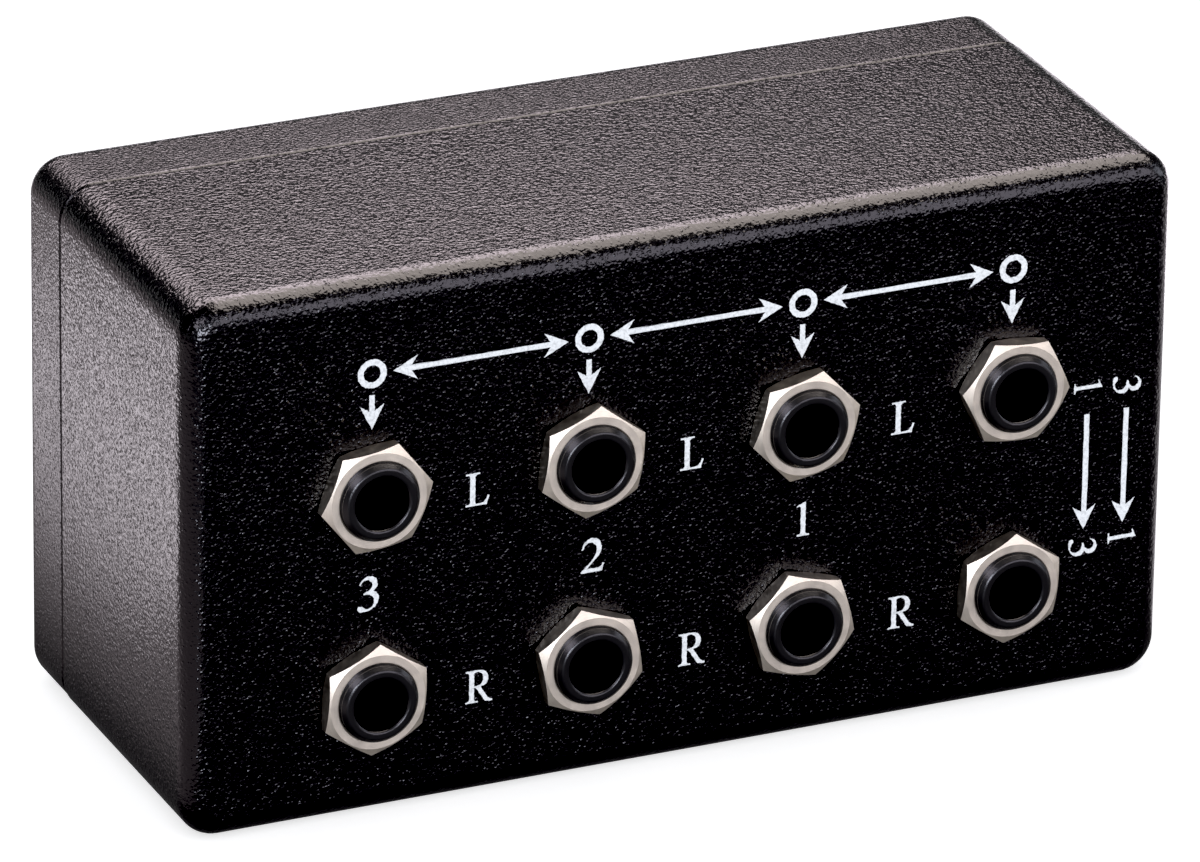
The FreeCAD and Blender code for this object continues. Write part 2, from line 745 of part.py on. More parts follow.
def jack_body(column, line, across, height, turn):
    """A moulded jack body: square case open to the board, round threaded nose, plug bore."""
    body = new_body(f"jack_body_{column}_{line}", across, wall_inside, height, turn)
    length, bore = jack_length, size("plug_bore")
    nose, reach = size("nose_radius"), wall_inside + size("nose_reach")
    pad(
        body,
        "block",
        rectangle(body, "block_outline", "XZ", size("jack_width"), size("jack_height")),
        length,
    )
    edge = size("nose_edge")
    turned(
        body,
        "Revolution",
        "nose",
        [(0, SPARE), (nose, SPARE), (nose, edge - reach), (nose - edge, -reach), (0, -reach)],
    )
    hole_end = size("jack_front_wall") + SPARE
    hole = turned(
        body,
        "Groove",
        "plug_hole",
        [(0, -reach - SPARE), (bore, -reach - SPARE), (bore, hole_end), (0, hole_end)],
    )
    round_edges(body, "mouth_rounds", hole, -reach.value, size("mouth_round"))
    pitch, deep = size("thread_pitch"), size("thread_depth")
    crest = edge + size("thread_start") - reach
    floor_start, floor_end, end = [crest + pitch * share for share in THREAD_GROOVE]
    thread = turned(
        body,
        "Groove",
        "thread",
        [
            (nose + SPARE, crest),
            (nose, crest),
            (nose - deep, floor_start),
            (nose - deep, floor_end),
            (nose, end),
            (nose + SPARE, end),
        ],
    )
    rings = body.newObject("PartDesign::LinearPattern", "threads")
    rings.Originals = [thread]
    rings.Direction = (origin_part(body, "Y_Axis"), [""])
    rings.Occurrences = THREAD_RINGS
    bind(rings, "Length", pitch * (THREAD_RINGS - 1))
    body.Tip = rings
    pocket(
        body,
        "spring_room",
        rectangle(
            body, "room_outline", "XZ", cavity_width, cavity_height, size("jack_front_wall")
        ),
        length,
    )
    side = size("foot_side")
    foot = pad(
        body,
        "foot",
        rectangle(
            body,
            "foot_outline",
            "XZ",
            side,
            side,
            length,
            side / 2 - size("jack_width") / 2,
            side / 2 - size("jack_height") / 2,
        ),
        size("jack_foot"),
    )
    row_of_two(body, "feet_across", foot, "X", size("jack_width") - side)
    upper = pad(
        body,
        "upper_foot",
        rectangle(
            body,
            "upper_foot_outline",
            "XZ",
            side,
            side,
            length,
            side / 2 - size("jack_width") / 2,
            size("jack_height") / 2 - side / 2,
        ),
        size("jack_foot"),
    )
    row_of_two(body, "upper_feet", upper, "X", size("jack_width") - side)
    return body


def hex_nut(label, across, level, height_at, turn, thickness, thread):
    """A hexagon nut with both faces bevelled to a round, its outer face towards -Y."""
    body = new_body(label, across, level, height_at, turn)
    half_flats = thread + size("nut_wall")
    corner = half_flats * 2 / math.sqrt(3)
    points = []
    for i in range(6):
        angle = math.radians(60 * i)
        points.append((corner * math.cos(angle), corner * math.sin(angle)))
    pad(body, "hexagon", outline(body, "hexagon_outline", "XZ", points), thickness)
    flat, edge = half_flats - size("nut_ring"), size("nut_edge")
    bevel = size("nut_bevel") + SPARE
    wide = flat + (corner - flat) / size("nut_bevel") * bevel
    outside = wide + SPARE
    turned(
        body,
        "Groove",
        "front_bevel",
        [(flat, 0), (wide, bevel), (outside, bevel), (outside, -SPARE), (flat, -SPARE)],
    )
    low, high = thickness - bevel, thickness + SPARE
    turned(
        body,
        "Groove",
        "back_bevel",
        [(flat, thickness), (wide, low), (outside, low), (outside, high), (flat, high)],
    )
    bore = thread + size("nut_play")
    turned(
        body,
        "Groove",
        "thread_hole",
        [
            (0, -SPARE),
            (bore + edge, -SPARE),
            (bore + edge, 0),
            (bore, edge),
            (bore, thickness - edge),
            (bore + edge, thickness),
            (bore + edge, high),
            (0, high),
        ],
    )
    return body


def leaf_points(wall, bend, touch, run):
    """Side view of a folded spring leaf: along the wall, back at the bend, a bump at touch."""
    leaf, low = size("leaf"), size("touch_height")
    high = low + size("spring_slope")
    end, tip = touch + size("spring_tail"), low + size("spring_rise")
    return [
        (run, wall),
        (bend, wall),
        (bend, high),
        (touch, low),
        (end, tip),
        (end, tip + leaf),
        (touch, low + leaf),
        (bend + leaf, high + size("fold_height")),
        (bend + leaf, wall - leaf),
        (run, wall - leaf),
    ]


def spring_leaf(label, place, turn, side, wall, bend, touch, width):
    """A contact in a jack. side gives the wall it lies on: up, down or left."""
    across, height = place
    body = new_body(label, across, wall_inside, height, turn)
    board_at = jack_length + size("jack_foot")
    run = board_at - size("shoulder_gap")
    pins = board_at + size("board_thickness") + size("pin_reach")
    leaf = size("leaf")
    points = leaf_points(wall, bend, touch, run)
    root = run - SPARE
    pin = [(root, wall - leaf), (pins, wall - leaf), (pins, wall), (root, wall)]
    if side == "left":
        plane = "XY"
        points = [(-height_at, along) for along, height_at in points]
        pin = [(-height_at, along) for along, height_at in pin]
    else:
        plane = "YZ"
        if side == "down":
            points = [(along, -height_at) for along, height_at in points]
            pin = [(along, -height_at) for along, height_at in pin]
    pad(body, "leaf", outline(body, "leaf_outline", plane, points), width, both=True)
    pad(body, "pin", outline(body, "pin_outline", plane, pin), size("pin_width"), both=True)
    return body


def jacks():
    """Eight jacks, each a body, a nut and three contacts."""
    pieces = []
    for column, line, across, height in jack_places():
        turn = 180.0 if column in ("1", "common") else 0.0
        place = (across, height)
        name = f"{column}_{line}"
        pieces.append(jack_body(column, line, across, height, turn))
        pieces.append(
            hex_nut(
                f"jack_nut_{name}",
                across,
                -size("nut_height"),
                height,
                -NUT_TURNS[(column, line)],
                size("nut_height"),
                size("nose_radius"),
            )
        )
        half = cavity_height / 2
        pieces.append(
            spring_leaf(
                f"tip_spring_{name}",
                place,
                turn,
                "up",
                half,
                size("tip_bend"),
                size("tip_touch"),
                size("leaf_width"),
            )
        )
        pieces.append(
            spring_leaf(
                f"ring_spring_{name}",
                place,
                turn,
                "down",
                half,
                size("ring_bend"),
                size("ring_touch"),
                size("leaf_width"),
            )
        )
        pieces.append(
            spring_leaf(
                f"sleeve_contact_{name}",
                place,
                turn,
                "left",
                cavity_width / 2,
                size("sleeve_bend"),
                size("sleeve_touch"),
                size("sleeve_width"),
            )
        )
    return pieces


def switch_angles():
    """Angles of the outer contacts, with the middle position of the first pole straight up."""
    step = 360.0 / (POLES * POSITIONS)
    return [step * i for i in range(POLES * POSITIONS)]


def on_circle(radius, angle):
    """Sketch place at an angle from straight up."""
    turn = math.radians(angle)
    return radius * math.sin(turn), radius * math.cos(turn)


def circuit_board():
    """The board that joins jacks and switch, with a hole for every pin."""
    mid_x = size("first_column") + size("column_pitch") * 1.5
    mid_z = size("first_row") + size("row_pitch") / 2
    body = new_body("circuit_board", 0, board_front, 0)
    pad(
        body,
        "board",
        rectangle(
            body,
            "board_outline",
            "XZ",
            size("board_width"),
            size("board_height"),
            0,
            mid_x,
            mid_z,
        ),
        size("board_thickness"),
    )
    spots = []
    reach_z = cavity_height / 2 - size("leaf") / 2
    reach_x = cavity_width / 2 - size("leaf") / 2
    for column, _, across, height in jack_places():
        side = 1 if column in ("1", "common") else -1
        spots += [(across, height + reach_z), (across, height - reach_z)]
        spots.append((across + reach_x * side, height))
    for angle in switch_angles():
        across, up = on_circle(size("outer_circle"), angle)
        spots.append((across, switch_z + up))
    for pole in range(POLES):
        across, up = on_circle(size("inner_circle"), pole * 360.0 / POLES)
        spots.append((across, switch_z + up))
    pocket(
        body,
        "pin_holes",
        circles(body, "pin_circles", "XZ", spots, size("pin_hole"), 0),
        size("board_thickness"),
    )
    return body


def switch_piece(label):
    """A body on the switch's axis, its level 0 at the inside of the lid face."""
    return new_body(label, 0, lid_inside, switch_z)


def switch_body():
    """The switch's housing with its threaded bush, detent notches and staking pins."""
    body = switch_piece("switch_body")
    radius, inside = size("switch_radius"), switch_inside
    face, bush = size("switch_face"), size("bush_radius")
    bush_end, bevel = lid_outside + size("bush_reach"), size("bush_bevel")
    bore = size("shaft_radius") + size("shaft_play")
    recess = ring_rim + size("stop_play")
    turned(
        body,
        "Revolution",
        "housing",
        [
            (bore, -face),
            (inside, -face),
            (inside, wafer_top),
            (radius, wafer_top),
            (radius, 0),
            (recess, 0),
            (recess, -size("stop_ring_height")),
            (bush, -size("stop_ring_height")),
            (bush, bush_end - bevel),
            (bush - bevel, bush_end),
            (bore, bush_end),
        ],
    )
    pad(
        body,
        "locating_lug",
        circles(body, "lug_circle", "XZ", [(0, -lug_circle)], size("lug_radius"), -SPARE),
        size("lug_height") + SPARE,
    )
    stakes = [(stake_circle, 0), (-stake_circle, 0)]
    root = wafer_top + SPARE
    pad(
        body,
        "staking_pins",
        circles(body, "stake_circles", "XZ", stakes, size("stake_radius"), root),
        size("wafer_thickness") + SPARE,
        flip=True,
    )
    notch = size("ball_radius") + size("notch_play")
    notch_spot = inside + size("notch_depth") - notch
    groove = pocket(
        body,
        "detent_notch",
        circles(body, "notch_circle", "XZ", [(notch_spot, 0)], notch, wafer_top),
        -wafer_top - face - SPARE,
    )
    polar(body, "detent_notches", groove, POLES * POSITIONS)
    hole, spot = size("stop_radius") + size("stop_play"), [(0, size("stop_circle"))]
    pocket(
        body,
        "stop_hole",
        circles(body, "stop_circle_hole", "XZ", spot, hole, 0),
        face + SPARE,
        flip=True,
    )
    return body


def switch_wafer():
    """The disc that carries the fixed contacts and stands on the board."""
    body = switch_piece("switch_wafer")
    radius, thick = size("switch_radius"), size("wafer_thickness")
    top, foot, bottom = wafer_top, wafer_foot, wafer_bottom
    turned(body, "Revolution", "disc", [(0, bottom), (radius, bottom), (radius, top), (0, top)])
    foot_radius = size("wafer_foot_radius")
    foot_circle = radius - foot_radius - size("wafer_foot_inset")
    feet = [on_circle(foot_circle, angle) for angle in WAFER_FEET]
    pad(
        body,
        "feet",
        circles(body, "feet_circles", "XZ", feet, foot_radius, foot),
        bottom - foot + SPARE,
    )
    spots = [on_circle(size("outer_circle"), angle) for angle in switch_angles()]
    spots += [on_circle(size("inner_circle"), i * 360.0 / POLES) for i in range(POLES)]
    pocket(
        body,
        "terminal_holes",
        circles(
            body, "terminal_circles", "XZ", spots, size("post_pin") + size("terminal_play"), bottom
        ),
        thick,
    )
    stakes = [(stake_circle, 0), (-stake_circle, 0)]
    hole = size("stake_radius") + size("stake_play")
    pocket(
        body,
        "stake_holes",
        circles(body, "stake_circles", "XZ", stakes, hole, bottom),
        thick,
    )
    return body


def switch_contacts():
    """Twelve contacts with round heads, three for each pole."""
    body = switch_piece("switch_contacts")
    spot = on_circle(size("outer_circle"), 0)
    head = pad(
        body,
        "head",
        circles(body, "head_circle", "XZ", [spot], size("head_radius"), wafer_top),
        size("head_height"),
    )
    pin = pad(
        body,
        "pin",
        circles(body, "pin_circle", "XZ", [spot], size("post_pin"), pin_end),
        wafer_top - pin_end + size("head_height") / 2,
    )
    ring = polar(body, "ring_of_contacts", head, POLES * POSITIONS)
    ring.Originals = [head, pin]
    return body


def switch_commons():
    """Four common contacts: an arc that the wiper runs on, with one pin."""
    body = switch_piece("switch_commons")
    middle, half = size("inner_circle"), size("common_width") / 2
    top = wafer_top + size("head_height")
    travel = size("detent_step") * (POSITIONS - 1) + size("common_spare") * 2
    arc = turned(
        body,
        "Revolution",
        "arc",
        [
            (middle - half, wafer_top),
            (middle + half, wafer_top),
            (middle + half, top),
            (middle - half, top),
        ],
        travel,
        "YZ",
    )
    pin = pad(
        body,
        "pin",
        circles(body, "pin_circle", "XZ", [(0, middle)], size("post_pin"), pin_end),
        wafer_top - pin_end + size("head_height") / 2,
    )
    ring = polar(body, "ring_of_commons", arc, POLES)
    ring.Originals = [arc, pin]
    return body


def switch_rotor():
    """The turning block: bore for the shaft, room for balls and springs, and the stop slot."""
    body = switch_piece("switch_rotor")
    shaft, radius = size("shaft_radius"), size("rotor_radius")
    turned(
        body,
        "Revolution",
        "block",
        [
            (shaft, shaft_foot),
            (shaft, collar_seat),
            (size("collar_radius"), collar_seat),
            (size("collar_radius"), rotor_top),
            (radius, rotor_top),
            (radius, rotor_bottom),
            (0, rotor_bottom),
            (0, shaft_foot),
        ],
    )
    bore = size("ball_radius") + size("ball_hole_play")
    hole = circles(body, "ball_circle", "YZ", [(detent_level, 0)], bore, ball_hole_floor)
    bored = pocket(body, "ball_hole", hole, radius)
    polar(body, "ball_holes", bored, 2)
    wide = size("stop_radius") + size("stop_gap") * 2
    middle, deep = size("stop_circle"), rotor_top - size("stop_depth")
    spare_turn = (size("stop_radius") + size("stop_gap")) / middle * math.degrees(1)
    turned(
        body,
        "Groove",
        "stop_slot",
        [
            (middle - wide, deep),
            (middle + wide, deep),
            (middle + wide, rotor_top + SPARE),
            (middle - wide, rotor_top + SPARE),
        ],
        size("detent_step") * (POSITIONS - 1) + spare_turn * 2,
        "YZ",
    )
    return body


def switch_wipers():
    """Four bridges under the rotor, each from a common arc to one contact."""
    body = switch_piece("switch_wipers")
    low = wafer_top + size("head_height") + size("wiper_play")
    high = rotor_bottom - size("leaf")
    inner, outer, leaf = size("inner_circle"), size("outer_circle"), size("leaf")
    flat, toe_level = size("wiper_flat"), low + size("wiper_toe_rise")
    toe, slope = flat + size("wiper_toe"), flat + size("wiper_rise_run")
    under = [
        (inner - toe, toe_level),
        (inner - flat, low),
        (inner + flat, low),
        (inner + slope, high),
        (outer - slope, high),
        (outer - flat, low),
        (outer + flat, low),
        (outer + toe, toe_level),
    ]
    over = [(radius, level + leaf) for radius, level in reversed(under)]
    points = [(level, radius) for radius, level in under + over]
    side_view = outline(body, "bridge_outline", "YZ", points)
    bridge = pad(body, "bridge", side_view, size("wiper_width"), both=True)
    polar(body, "bridges", bridge, POLES)
    return body


def switch_shaft():
    """The shaft with its collar and the flat for the grub screw."""
    body = switch_piece("switch_shaft")
    radius, collar = size("shaft_radius"), size("collar_radius")
    collar_top, bevel = collar_seat + size("collar_height"), size("shaft_bevel")
    turned(
        body,
        "Revolution",
        "rod",
        [
            (0, shaft_foot),
            (radius, shaft_foot),
            (radius, collar_seat),
            (collar, collar_seat),
            (collar, collar_top),
            (radius, collar_top),
            (radius, shaft_end - bevel),
            (radius - bevel, shaft_end),
            (0, shaft_end),
        ],
    )
    start = knob_bottom + size("knob_recess")
    flat_at = size("shaft_flat") / 2 - radius
    width = (radius + SPARE) * 2
    pocket(
        body,
        "flat",
        rectangle(body, "flat_outline", "XZ", width, size("shaft_flat"), start, 0, flat_at),
        shaft_end - start,
    )
    return body


def detent_balls():
    """Two steel balls that drop into the notches of the switch body."""
    body = switch_piece("detent_balls")
    ball = size("ball_radius")
    spot = switch_inside - size("ball_play") - ball
    sketch = new_sketch(body, "half_circle", "XY", 0)
    middle = FreeCAD.Vector(spot.value, detent_level.value, 0)
    circle = Part.Circle(middle, FreeCAD.Vector(0, 0, 1), ball.value)
    sketch.addGeometry(Part.ArcOfCircle(circle, 0, math.pi), False)
    arc = sketch.Geometry[0]
    sketch.addGeometry(Part.LineSegment(arc.EndPoint, arc.StartPoint), False)
    sketch.addConstraint(Sketcher.Constraint("Coincident", 0, 2, 1, 1))
    sketch.addConstraint(Sketcher.Constraint("Coincident", 1, 2, 0, 1))
    sketch.addConstraint(Sketcher.Constraint("Horizontal", 1))
    sketch.addConstraint(Sketcher.Constraint("PointOnObject", 0, 3, 1))
    sketch.addConstraint(Sketcher.Constraint("Radius", 0, ball.value))
    name_last(sketch, ball.text)
    tie_point(sketch, 0, 3, spot, detent_level)
    sphere = body.newObject("PartDesign::Revolution", "ball")
    sphere.Profile = sketch
    sphere.ReferenceAxis = (sketch, ["Edge2"])
    sphere.Angle = 360
    sketch.Visibility = False
    polar(body, "balls", sphere, 2)
    return body


def detent_springs():
    """The coil springs that press the balls outwards."""
    body = switch_piece("detent_springs")
    wire, coil = size("spring_wire"), size("ball_radius") - size("coil_inset")
    start = ball_hole_floor + wire + size("coil_seat")
    ball_back = switch_inside - size("ball_play") - size("ball_radius") * 2
    height = ball_back - start + size("coil_reach")
    sketch = circles(body, "wire_circle", "XY", [(start, detent_level + coil)], wire, 0)
    axis = new_sketch(body, "coil_axis", "XY", 0)
    axis.addGeometry(
        Part.LineSegment(
            FreeCAD.Vector(0, detent_level.value, 0),
            FreeCAD.Vector(height.value, detent_level.value, 0),
        ),
        False,
    )
    axis.addConstraint(Sketcher.Constraint("Horizontal", 0))
    tie_point(axis, 0, 1, 0, detent_level)
    axis.addConstraint(Sketcher.Constraint("DistanceX", 0, 1, 0, 2, height.value))
    spring = body.newObject("PartDesign::AdditiveHelix", "coil")
    spring.Profile = sketch
    spring.ReferenceAxis = (axis, ["Edge1"])
    spring.Mode = 2
    bind(spring, "Height", height)
    spring.Turns = SPRING_TURNS
    sketch.Visibility = False
    axis.Visibility = False
    body.Tip = spring
    polar(body, "coils", spring, 2)
    return body


def stop_ring():
    """A ring with one pin that reaches into the rotor's slot and sets the three positions."""
    body = switch_piece("stop_ring")
    thick, inner, outer = size("stop_ring_height"), on_bush, ring_rim
    turned(body, "Revolution", "ring", [(inner, -thick), (outer, -thick), (outer, 0), (inner, 0)])
    root, spot = -thick / 2, [(0, size("stop_circle"))]
    pad(
        body,
        "stop_pin",
        circles(body, "pin_circle", "XZ", spot, size("stop_radius"), root),
        root - rotor_top + size("stop_depth") - size("stop_end_gap"),
        flip=True,
    )
    return body


def lock_washer():
    """A flat washer with teeth round its edge, between lid and nut."""
    body = switch_piece("lock_washer")
    low, high = lid_outside, lid_outside + size("washer_height")
    inner, outer = on_bush, size("washer_radius")
    turned(body, "Revolution", "ring", [(inner, low), (outer, low), (outer, high), (inner, high)])
    spot = [(outer + size("tooth_gap_out"), 0)]
    bite = pocket(
        body,
        "tooth_gap",
        circles(body, "gap_circle", "XZ", spot, size("tooth_gap_radius"), low),
        size("washer_height"),
    )
    polar(body, "tooth_gaps", bite, WASHER_TEETH)
    return body


def knob():
    """The knob: fluted skirt, hollow for the nut, blind bore, grub screw hole and index groove."""
    body = switch_piece("knob")
    skirt, crown = size("knob_radius"), size("knob_top_radius")
    hollow, floor = size("knob_recess_radius"), knob_bottom + size("knob_recess")
    bore, roof = size("shaft_radius") + size("knob_play"), shaft_end + size("knob_roof_gap")
    foot, bevel, step = size("skirt_bevel"), size("knob_bevel"), size("skirt_step")
    skirt_top = knob_bottom + size("skirt_height")
    grip = skirt_top + step
    turned(
        body,
        "Revolution",
        "block",
        [
            (hollow, knob_bottom),
            (skirt - foot, knob_bottom),
            (skirt, knob_bottom + foot),
            (skirt, skirt_top),
            (skirt - step, grip),
            (crown, knob_top - bevel),
            (crown - bevel, knob_top),
            (0, knob_top),
            (0, roof),
            (bore, roof),
            (bore, floor),
            (hollow, floor),
        ],
    )
    turn = math.radians(180.0 / FLUTES)
    flute_circle = skirt + size("flute_out")
    spot = [(flute_circle * math.sin(turn), flute_circle * math.cos(turn))]
    groove = pocket(
        body,
        "flute",
        circles(body, "flute_circle", "XZ", spot, size("flute_radius"), grip),
        size("knob_height"),
    )
    polar(body, "flutes", groove, FLUTES)
    hole = size("grub_radius") + size("grub_play")
    pocket(
        body,
        "grub_hole",
        circles(body, "grub_circle", "XY", [(0, grub_level())], hole, 0),
        skirt + SPARE,
        flip=True,
    )
    groove = index_outline(body, "index_outline", knob_top)
    pocket(body, "index_groove", groove, size("index_depth"), flip=True)
    return body


def index_outline(body, name, level):
    """The index line seen from the knob's top."""
    middle = size("index_start") + index_length / 2
    return rectangle(body, name, "XZ", size("index_width"), index_length, level, 0, middle)


def grub_level():
    """Height of the grub screw's axis along the shaft."""
    floor = knob_bottom + size("knob_recess")
    return (floor + shaft_end) / 2


def knob_index():
    """The white line set in the knob's top."""
    body = switch_piece("knob_index")
    line = index_outline(body, "line_outline", knob_top - size("index_depth"))
    pad(body, "line", line, size("index_depth"))
    return body


def knob_grub_screw():
    """The grub screw that bears on the shaft's flat."""
    body = switch_piece("knob_grub_screw")
    start = size("shaft_radius") - size("shaft_flat")
    pad(
        body,
        "thread",
        circles(body, "thread_circle", "XY", [(0, grub_level())], size("grub_radius"), -start),
        size("grub_length"),
        flip=True,
    )
    across = size("socket_radius")
    points = []
    for i in range(6):
        angle = math.radians(60 * i)
        points.append((across * math.cos(angle), grub_level() + across * math.sin(angle)))
    socket = outline(body, "socket_outline", "XY", points, -(start + size("grub_length")))
    pocket(body, "socket", socket, size("socket_depth"))
    return body


def check_change(feature):
    """Stops if a cut took nothing away or a pad added nothing."""
    base = getattr(feature, "BaseFeature", None)
    if base is None:
        return
    change = feature.Shape.Volume - base.Shape.Volume
    if feature.TypeId in ("PartDesign::Pocket", "PartDesign::Groove") and change > -LEAST_CHANGE:
        raise RuntimeError(f"{feature.Name} cuts nothing")
    if feature.TypeId in ("PartDesign::Pad", "PartDesign::Revolution") and change < LEAST_CHANGE:
        raise RuntimeError(f"{feature.Name} adds nothing")


def check(pieces):
    """Stops if any object failed, any feature missed its piece or any piece isn't sound."""
    for thing in doc.Objects:
        bad = [word for word in thing.State if word in ("Invalid", "Error")]
        if bad:
            raise RuntimeError(f"{thing.Name} is {bad}")
        if thing.isDerivedFrom("PartDesign::Feature"):
            check_change(thing)
    for piece in pieces:
        shape = piece.Shape
        if shape.isNull() or not shape.isValid() or not shape.Solids:
            raise RuntimeError(f"{piece.Label} has no sound shape")


def main():
    pieces = [case_shell(), case_lid(), lid_screws(), circuit_board()]
    pieces += jacks()
    pieces += [
        switch_body(),
        switch_wafer(),
        switch_contacts(),
        switch_commons(),
        switch_rotor(),
        switch_wipers(),
        switch_shaft(),
        detent_balls(),
        detent_springs(),
        stop_ring(),
        lock_washer(),
        hex_nut(
            "switch_nut",
            0,
            size("case_depth") + size("washer_height"),
            switch_z,
            SWITCH_NUT_TURN,
            size("switch_nut_height"),
            size("bush_radius"),
        ),
        knob(),
        knob_index(),
        knob_grub_screw(),
    ]
    doc.recompute()
    check(pieces)
    os.makedirs("parts", exist_ok=True)
    for piece in pieces:
        piece.Shape.exportStep(f"parts/{piece.Label}.step")
        box = piece.Shape.BoundBox
        print(
            f"{piece.Label}: {len(piece.Shape.Solids)} solids, {piece.Shape.Volume:.1f} mm3, "
            f"x {box.XMin:.2f} {box.XMax:.2f} y {box.YMin:.2f} {box.YMax:.2f} "
            f"z {box.ZMin:.2f} {box.ZMax:.2f}"
        )


main()
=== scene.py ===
import json
import math

import bpy
from mathutils import Matrix, Vector, noise


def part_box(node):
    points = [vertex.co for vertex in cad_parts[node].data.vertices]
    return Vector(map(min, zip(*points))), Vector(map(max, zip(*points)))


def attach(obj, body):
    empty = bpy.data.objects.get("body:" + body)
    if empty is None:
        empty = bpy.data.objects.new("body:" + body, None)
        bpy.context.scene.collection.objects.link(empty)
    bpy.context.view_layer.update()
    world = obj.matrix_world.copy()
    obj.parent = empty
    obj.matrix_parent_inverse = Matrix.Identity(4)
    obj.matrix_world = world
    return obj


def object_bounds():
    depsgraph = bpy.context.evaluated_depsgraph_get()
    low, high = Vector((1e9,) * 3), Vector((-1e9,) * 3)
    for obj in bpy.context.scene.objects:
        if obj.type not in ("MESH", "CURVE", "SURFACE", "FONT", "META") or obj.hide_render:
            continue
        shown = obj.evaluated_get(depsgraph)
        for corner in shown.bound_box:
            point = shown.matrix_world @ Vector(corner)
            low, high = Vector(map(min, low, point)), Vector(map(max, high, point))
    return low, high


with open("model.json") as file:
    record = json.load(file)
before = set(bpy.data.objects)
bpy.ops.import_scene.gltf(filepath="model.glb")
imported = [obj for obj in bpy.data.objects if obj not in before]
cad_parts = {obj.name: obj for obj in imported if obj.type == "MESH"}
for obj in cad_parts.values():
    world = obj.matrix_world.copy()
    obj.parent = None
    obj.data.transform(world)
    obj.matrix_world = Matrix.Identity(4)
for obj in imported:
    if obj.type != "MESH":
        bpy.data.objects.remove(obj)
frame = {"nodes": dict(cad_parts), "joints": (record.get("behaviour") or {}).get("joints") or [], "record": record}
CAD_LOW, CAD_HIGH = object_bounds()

bl_info = {
    "name": "Line level selector",
    "version": (1, 0, 0),
    "blender": (4, 5, 0),
    "location": "View3D > Sidebar > Selector",
    "description": "Finishes, printed marks and studio for a small jack box with a rotary selector",
    "category": "Object",
}

MM = 0.001
SHELL_FACE_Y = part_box("case_shell")[0].y
LID_LOW, LID_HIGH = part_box("case_lid")
SWITCH_AXIS = Vector(frame["joints"][0]["pos_m"])
SOCKETS = {
    mount["name"].removeprefix("socket_"): Vector(mount["pos_m"])
    for mount in frame["record"]["mounts"]
    if mount["kind"] == "bore"
}

# Seed for the wander of the ink's edges. Without one the noise takes its seed from the clock.
EDGE_SEED = 1

# Power that one square metre of softbox takes for each unit of radiance
WATTS_PER_RADIANCE = 4.0
WARM, ROSE, PALE = (1.0, 0.89, 0.84), (1.0, 0.86, 0.91), (1.0, 0.93, 1.0)
VIOLET, COOL = (0.92, 0.86, 1.0), (0.84, 0.86, 1.0)
DOWN, UP = Vector((0, 0, -1)), Vector((0, 0, 1))

# Name, middle, size, tint, and the way it shines, or None where it is turned to the box. Those that
# shine up lie on the floor, each at its own height, because lights in one plane hide each other.
SOFTBOXES = (
    ("overhead", (0.01, 0.295, 0.37), (0.5, 0.31), ROSE, DOWN),
    ("awning", (0.18, -0.005, 0.37), (0.4, 0.29), WARM, DOWN),
    ("left", (-0.73, -0.66, 0.69), (0.55, 0.45), VIOLET, None),
    ("key", (-0.44, -1.43, 0.2), (0.7, 0.45), COOL, None),
    ("front", (0.7, -1.35, 0.43), (1.2, 1.0), VIOLET, None),
    ("back", (0.16, 0.24, 0.0004), (0.4, 0.36), PALE, UP),
    ("right", (1.15, -0.3, 0.25), (0.5, 0.5), COOL, None),
    ("sheet", (0.19, 0.07, 0.0008), (0.24, 0.18), PALE, UP),
    ("side", (-0.1, 0.085, 0.001), (0.03, 0.11), PALE, UP),
    ("halo", (-0.18, 0.12, 0.0006), (0.22, 0.45), ROSE, UP),
)


class CaseSettings(bpy.types.PropertyGroup):
    """The moulded case."""

    plastic: bpy.props.FloatVectorProperty(
        name="Plastic",
        description="Colour of the black moulded plastic",
        subtype="COLOR",
        default=(0.0018, 0.0013, 0.0024),
    )
    grain: bpy.props.FloatProperty(
        name="Grain",
        description="Distance from bump to bump in the moulded grain",
        unit="LENGTH",
        default=0.46 * MM,
    )
    depth: bpy.props.FloatProperty(
        name="Grain depth",
        description="Height of the bumps",
        unit="LENGTH",
        default=0.055 * MM,
    )
    waves: bpy.props.FloatProperty(
        name="Waves",
        description="Height of the soft waves under the bumps",
        unit="LENGTH",
        default=0.12 * MM,
    )
    roughness: bpy.props.FloatProperty(
        name="Roughness", description="Roughness of the bumps themselves", default=0.14
    )
    haze: bpy.props.FloatProperty(
        name="Haze",
        description="Share of the reflection that a fine dull skin scatters",
        default=0.35,
    )
    gloss: bpy.props.FloatProperty(
        name="Gloss", description="Strength of the plastic's reflection seen head on", default=0.4
    )


class PrintSettings(bpy.types.PropertyGroup):
    """The white printing."""

    ink: bpy.props.FloatVectorProperty(
        name="Ink", description="Colour of the ink", subtype="COLOR", default=(0.9, 0.94, 1.0)
    )
    thickness: bpy.props.FloatProperty(
        name="Ink thickness",
        description="How far the ink stands off the plastic",
        unit="LENGTH",
        default=0.035 * MM,
    )
    number_height: bpy.props.FloatProperty(
        name="Number height", description="Height of the numbers", unit="LENGTH", default=4.25 * MM
    )
    letter_height: bpy.props.FloatProperty(
        name="Letter height", description="Height of L and R", unit="LENGTH", default=4.05 * MM
    )
    bleed: bpy.props.FloatProperty(
        name="Bleed",
        description="How far the ink has run past the drawn outline",
        unit="LENGTH",
        default=0.02 * MM,
    )
    ragged: bpy.props.FloatProperty(
        name="Ragged edge",
        description="How far the ink's edge wanders on the grain",
        unit="LENGTH",
        default=0.07 * MM,
    )


